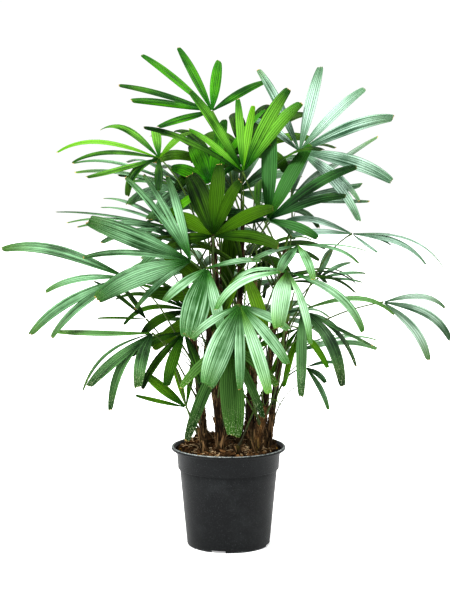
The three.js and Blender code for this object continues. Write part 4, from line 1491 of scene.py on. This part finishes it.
LEAF_LOOKS = {
    "mid": LeafLook(
        deep=(0.0015, 0.022, 0.0008), fresh=(0.022, 0.125, 0.009),
        sheen=(0.19, 0.35, 0.2), young=(0.07, 0.19, 0.004),
        shine=0.85, gloss=0.16, lines=0.6, speckle=0.15),
    "rich": LeafLook(
        deep=(0.001, 0.024, 0.0001), fresh=(0.012, 0.128, 0.0002),
        sheen=(0.07, 0.24, 0.004), young=(0.06, 0.2, 0.001),
        shine=0.5, gloss=0.04, uneven=0.4),
    "bright": LeafLook(
        deep=(0.001, 0.018, 0.0001), fresh=(0.011, 0.1, 0.0003),
        sheen=(0.12, 0.29, 0.03), young=(0.08, 0.23, 0.001),
        shine=0.75, gloss=0.06, uneven=0.5),
    "pale": LeafLook(
        deep=(0.006, 0.055, 0.003), fresh=(0.055, 0.2, 0.028),
        sheen=(0.3, 0.47, 0.31), young=(0.1, 0.25, 0.03),
        shine=0.95, gloss=0.16, lines=0.65, speckle=0.3),
    # A lit copy of a pale leaf: its pale colours are painted reflection of the overhead light on fronds
    # facing up.
    "silver": LeafLook(
        deep=(0.01, 0.05, 0.02), fresh=(0.13, 0.26, 0.14),
        sheen=(0.33, 0.46, 0.38), young=(0.15, 0.28, 0.13),
        shine=0.97, gloss=0.2, lines=0.8, speckle=0.1),
    "cool": LeafLook(
        deep=(0.005, 0.03, 0.01), fresh=(0.055, 0.13, 0.055),
        sheen=(0.26, 0.35, 0.28), young=(0.09, 0.18, 0.07),
        shine=0.9, gloss=0.2, lines=0.7, speckle=0.2),
    "dark": LeafLook(
        deep=(0.0005, 0.008, 0.0001), fresh=(0.007, 0.055, 0.0003),
        sheen=(0.055, 0.15, 0.006), young=(0.032, 0.1, 0.0006),
        shine=0.7, gloss=0.05, speckle=0.1, uneven=0.4),
    "dull": LeafLook(
        deep=(0.001, 0.014, 0.0015), fresh=(0.014, 0.066, 0.008),
        sheen=(0.09, 0.2, 0.07), young=(0.055, 0.16, 0.01),
        shine=0.82, gloss=0.12, lines=0.6, speckle=0.6),
    "worn": LeafLook(
        deep=(0.0008, 0.009, 0.0005), fresh=(0.008, 0.04, 0.0025),
        sheen=(0.05, 0.115, 0.028), young=(0.045, 0.13, 0.006),
        shine=0.72, gloss=0.06, lines=0.62, speckle=0.6, uneven=0.45),
    "shaded": LeafLook(
        deep=(0.0008, 0.006, 0.0001), fresh=(0.01, 0.045, 0.0003),
        sheen=(0.05, 0.12, 0.004), young=(0.04, 0.1, 0.001),
        shine=0.5, gloss=0.03, lines=0.5),
    "deep": LeafLook(
        deep=(0.0004, 0.008, 0.0006), fresh=(0.003, 0.05, 0.004),
        sheen=(0.045, 0.14, 0.035), young=(0.02, 0.1, 0.002),
        shine=0.7, gloss=0.06, uneven=0.4),
    "olive": LeafLook(
        deep=(0.004, 0.02, 0.0001), fresh=(0.035, 0.1, 0.0006),
        sheen=(0.11, 0.22, 0.01), young=(0.09, 0.22, 0.002),
        shine=0.5, gloss=0.05, lines=0.5),
    "lime": LeafLook(
        deep=(0.007, 0.045, 0.0001), fresh=(0.045, 0.17, 0.001),
        sheen=(0.16, 0.34, 0.015), young=(0.12, 0.28, 0.002),
        shine=0.45, gloss=0.05, lines=0.45),
}
# Fronds that look unlike the rest of their tone. One of these looks is a lit copy, pale with painted
# reflection.
OWN_LOOK = {
    "top_left": "rich", "mid_up": "rich", "top_right": "silver", "right_flat": "silver", "left_pale": "mid",
    "right_low": "cool", "right_back": "cool", "low_left": "dull", "right_low_mid": "dull",
    "front_low": "worn", "inner_back": "shaded", "centre": "shaded", "centre_right": "deep",
    "lime_centre": "olive",
}

# ---- Scene ----

CAMERA = {"lens": 104.76, "sensor": 36, "place": (-0.0073, -3.6, 0.95), "down": 6.86}
LIGHT_AIM = (0.0, 0.0, 0.62)
# Each lamp's place, size and power.
LAMPS = {"window_light": ((-1.5, -1.9, 3.1), 1.0, 150), "top_light": ((0.4, 0.2, 3.3), 1.6, 90)}
FLOOR_SIZE = 16
WHITE, ROOM_LIGHT = (1, 1, 1, 1), 0.78
EXPOSURE, GAMMA = 0.4, 0.84


def make_camera():
    """In front of the plant, a little lower than its top, looking slightly down."""
    lens = bpy.data.cameras.new("front_view")
    lens.lens, lens.sensor_width = CAMERA["lens"], CAMERA["sensor"]
    camera = bpy.data.objects.new("front_view", lens)
    camera.location = CAMERA["place"]
    camera.rotation_euler = ((90 - CAMERA["down"]) * RAD, 0, 0)
    bpy.context.collection.objects.link(camera)
    bpy.context.scene.camera = camera


def soft_light(name, place_at, size, power):
    lamp = bpy.data.lights.new(name, "AREA")
    lamp.shape, lamp.size, lamp.energy = "DISK", size, power
    light = bpy.data.objects.new(name, lamp)
    light.location = place_at
    way = mathutils.Vector(LIGHT_AIM) - mathutils.Vector(place_at)
    light.rotation_euler = way.to_track_quat("-Z", "Y").to_euler()
    bpy.context.collection.objects.link(light)


def make_studio():
    """A pale floor in a white room, under two soft lamps."""
    clear_selection()
    bpy.ops.mesh.primitive_plane_add(size=FLOOR_SIZE)
    floor = bpy.context.object
    floor.name = "floor"
    floor.data.materials.append(floor_finish())
    for name, lamp in LAMPS.items():
        soft_light(name, *lamp)
    world = bpy.data.worlds.new("white_room")
    world.use_nodes = True
    inputs = world.node_tree.nodes["Background"].inputs
    inputs["Color"].default_value, inputs["Strength"].default_value = WHITE, ROOM_LIGHT
    bpy.context.scene.world = world
    look = bpy.context.scene.view_settings
    look.view_transform, look.exposure, look.gamma = "Standard", EXPOSURE, GAMMA


def make_plant():
    """Leaves, stalks and canes, grown by the solids' rule and checked against them."""
    fronds, room = grow_fronds()
    for frond in fronds:
        check_reach(frond)
    finishes = {name: leaf_finish(f"leaf_{name}_green", look) for name, look in LEAF_LOOKS.items()}
    finishes["tip"] = dry_finish("dry_tip")
    for number, frond in enumerate(fronds):
        make_leaves(frond, finishes, number)
    make_stalks(fronds, room)
    bark, tan, young = (cane_finish(name) for name in CANE_LOOKS)
    special = {"cane_front_right": tan, "cane_front_stub": young, "cane_left_stub": young}
    for cane in CANES:
        make_cane(cane, special.get(cane, bark))
    make_shreds()


make_camera()
make_plant()
make_pot()
make_bed()
make_litter()
make_studio()
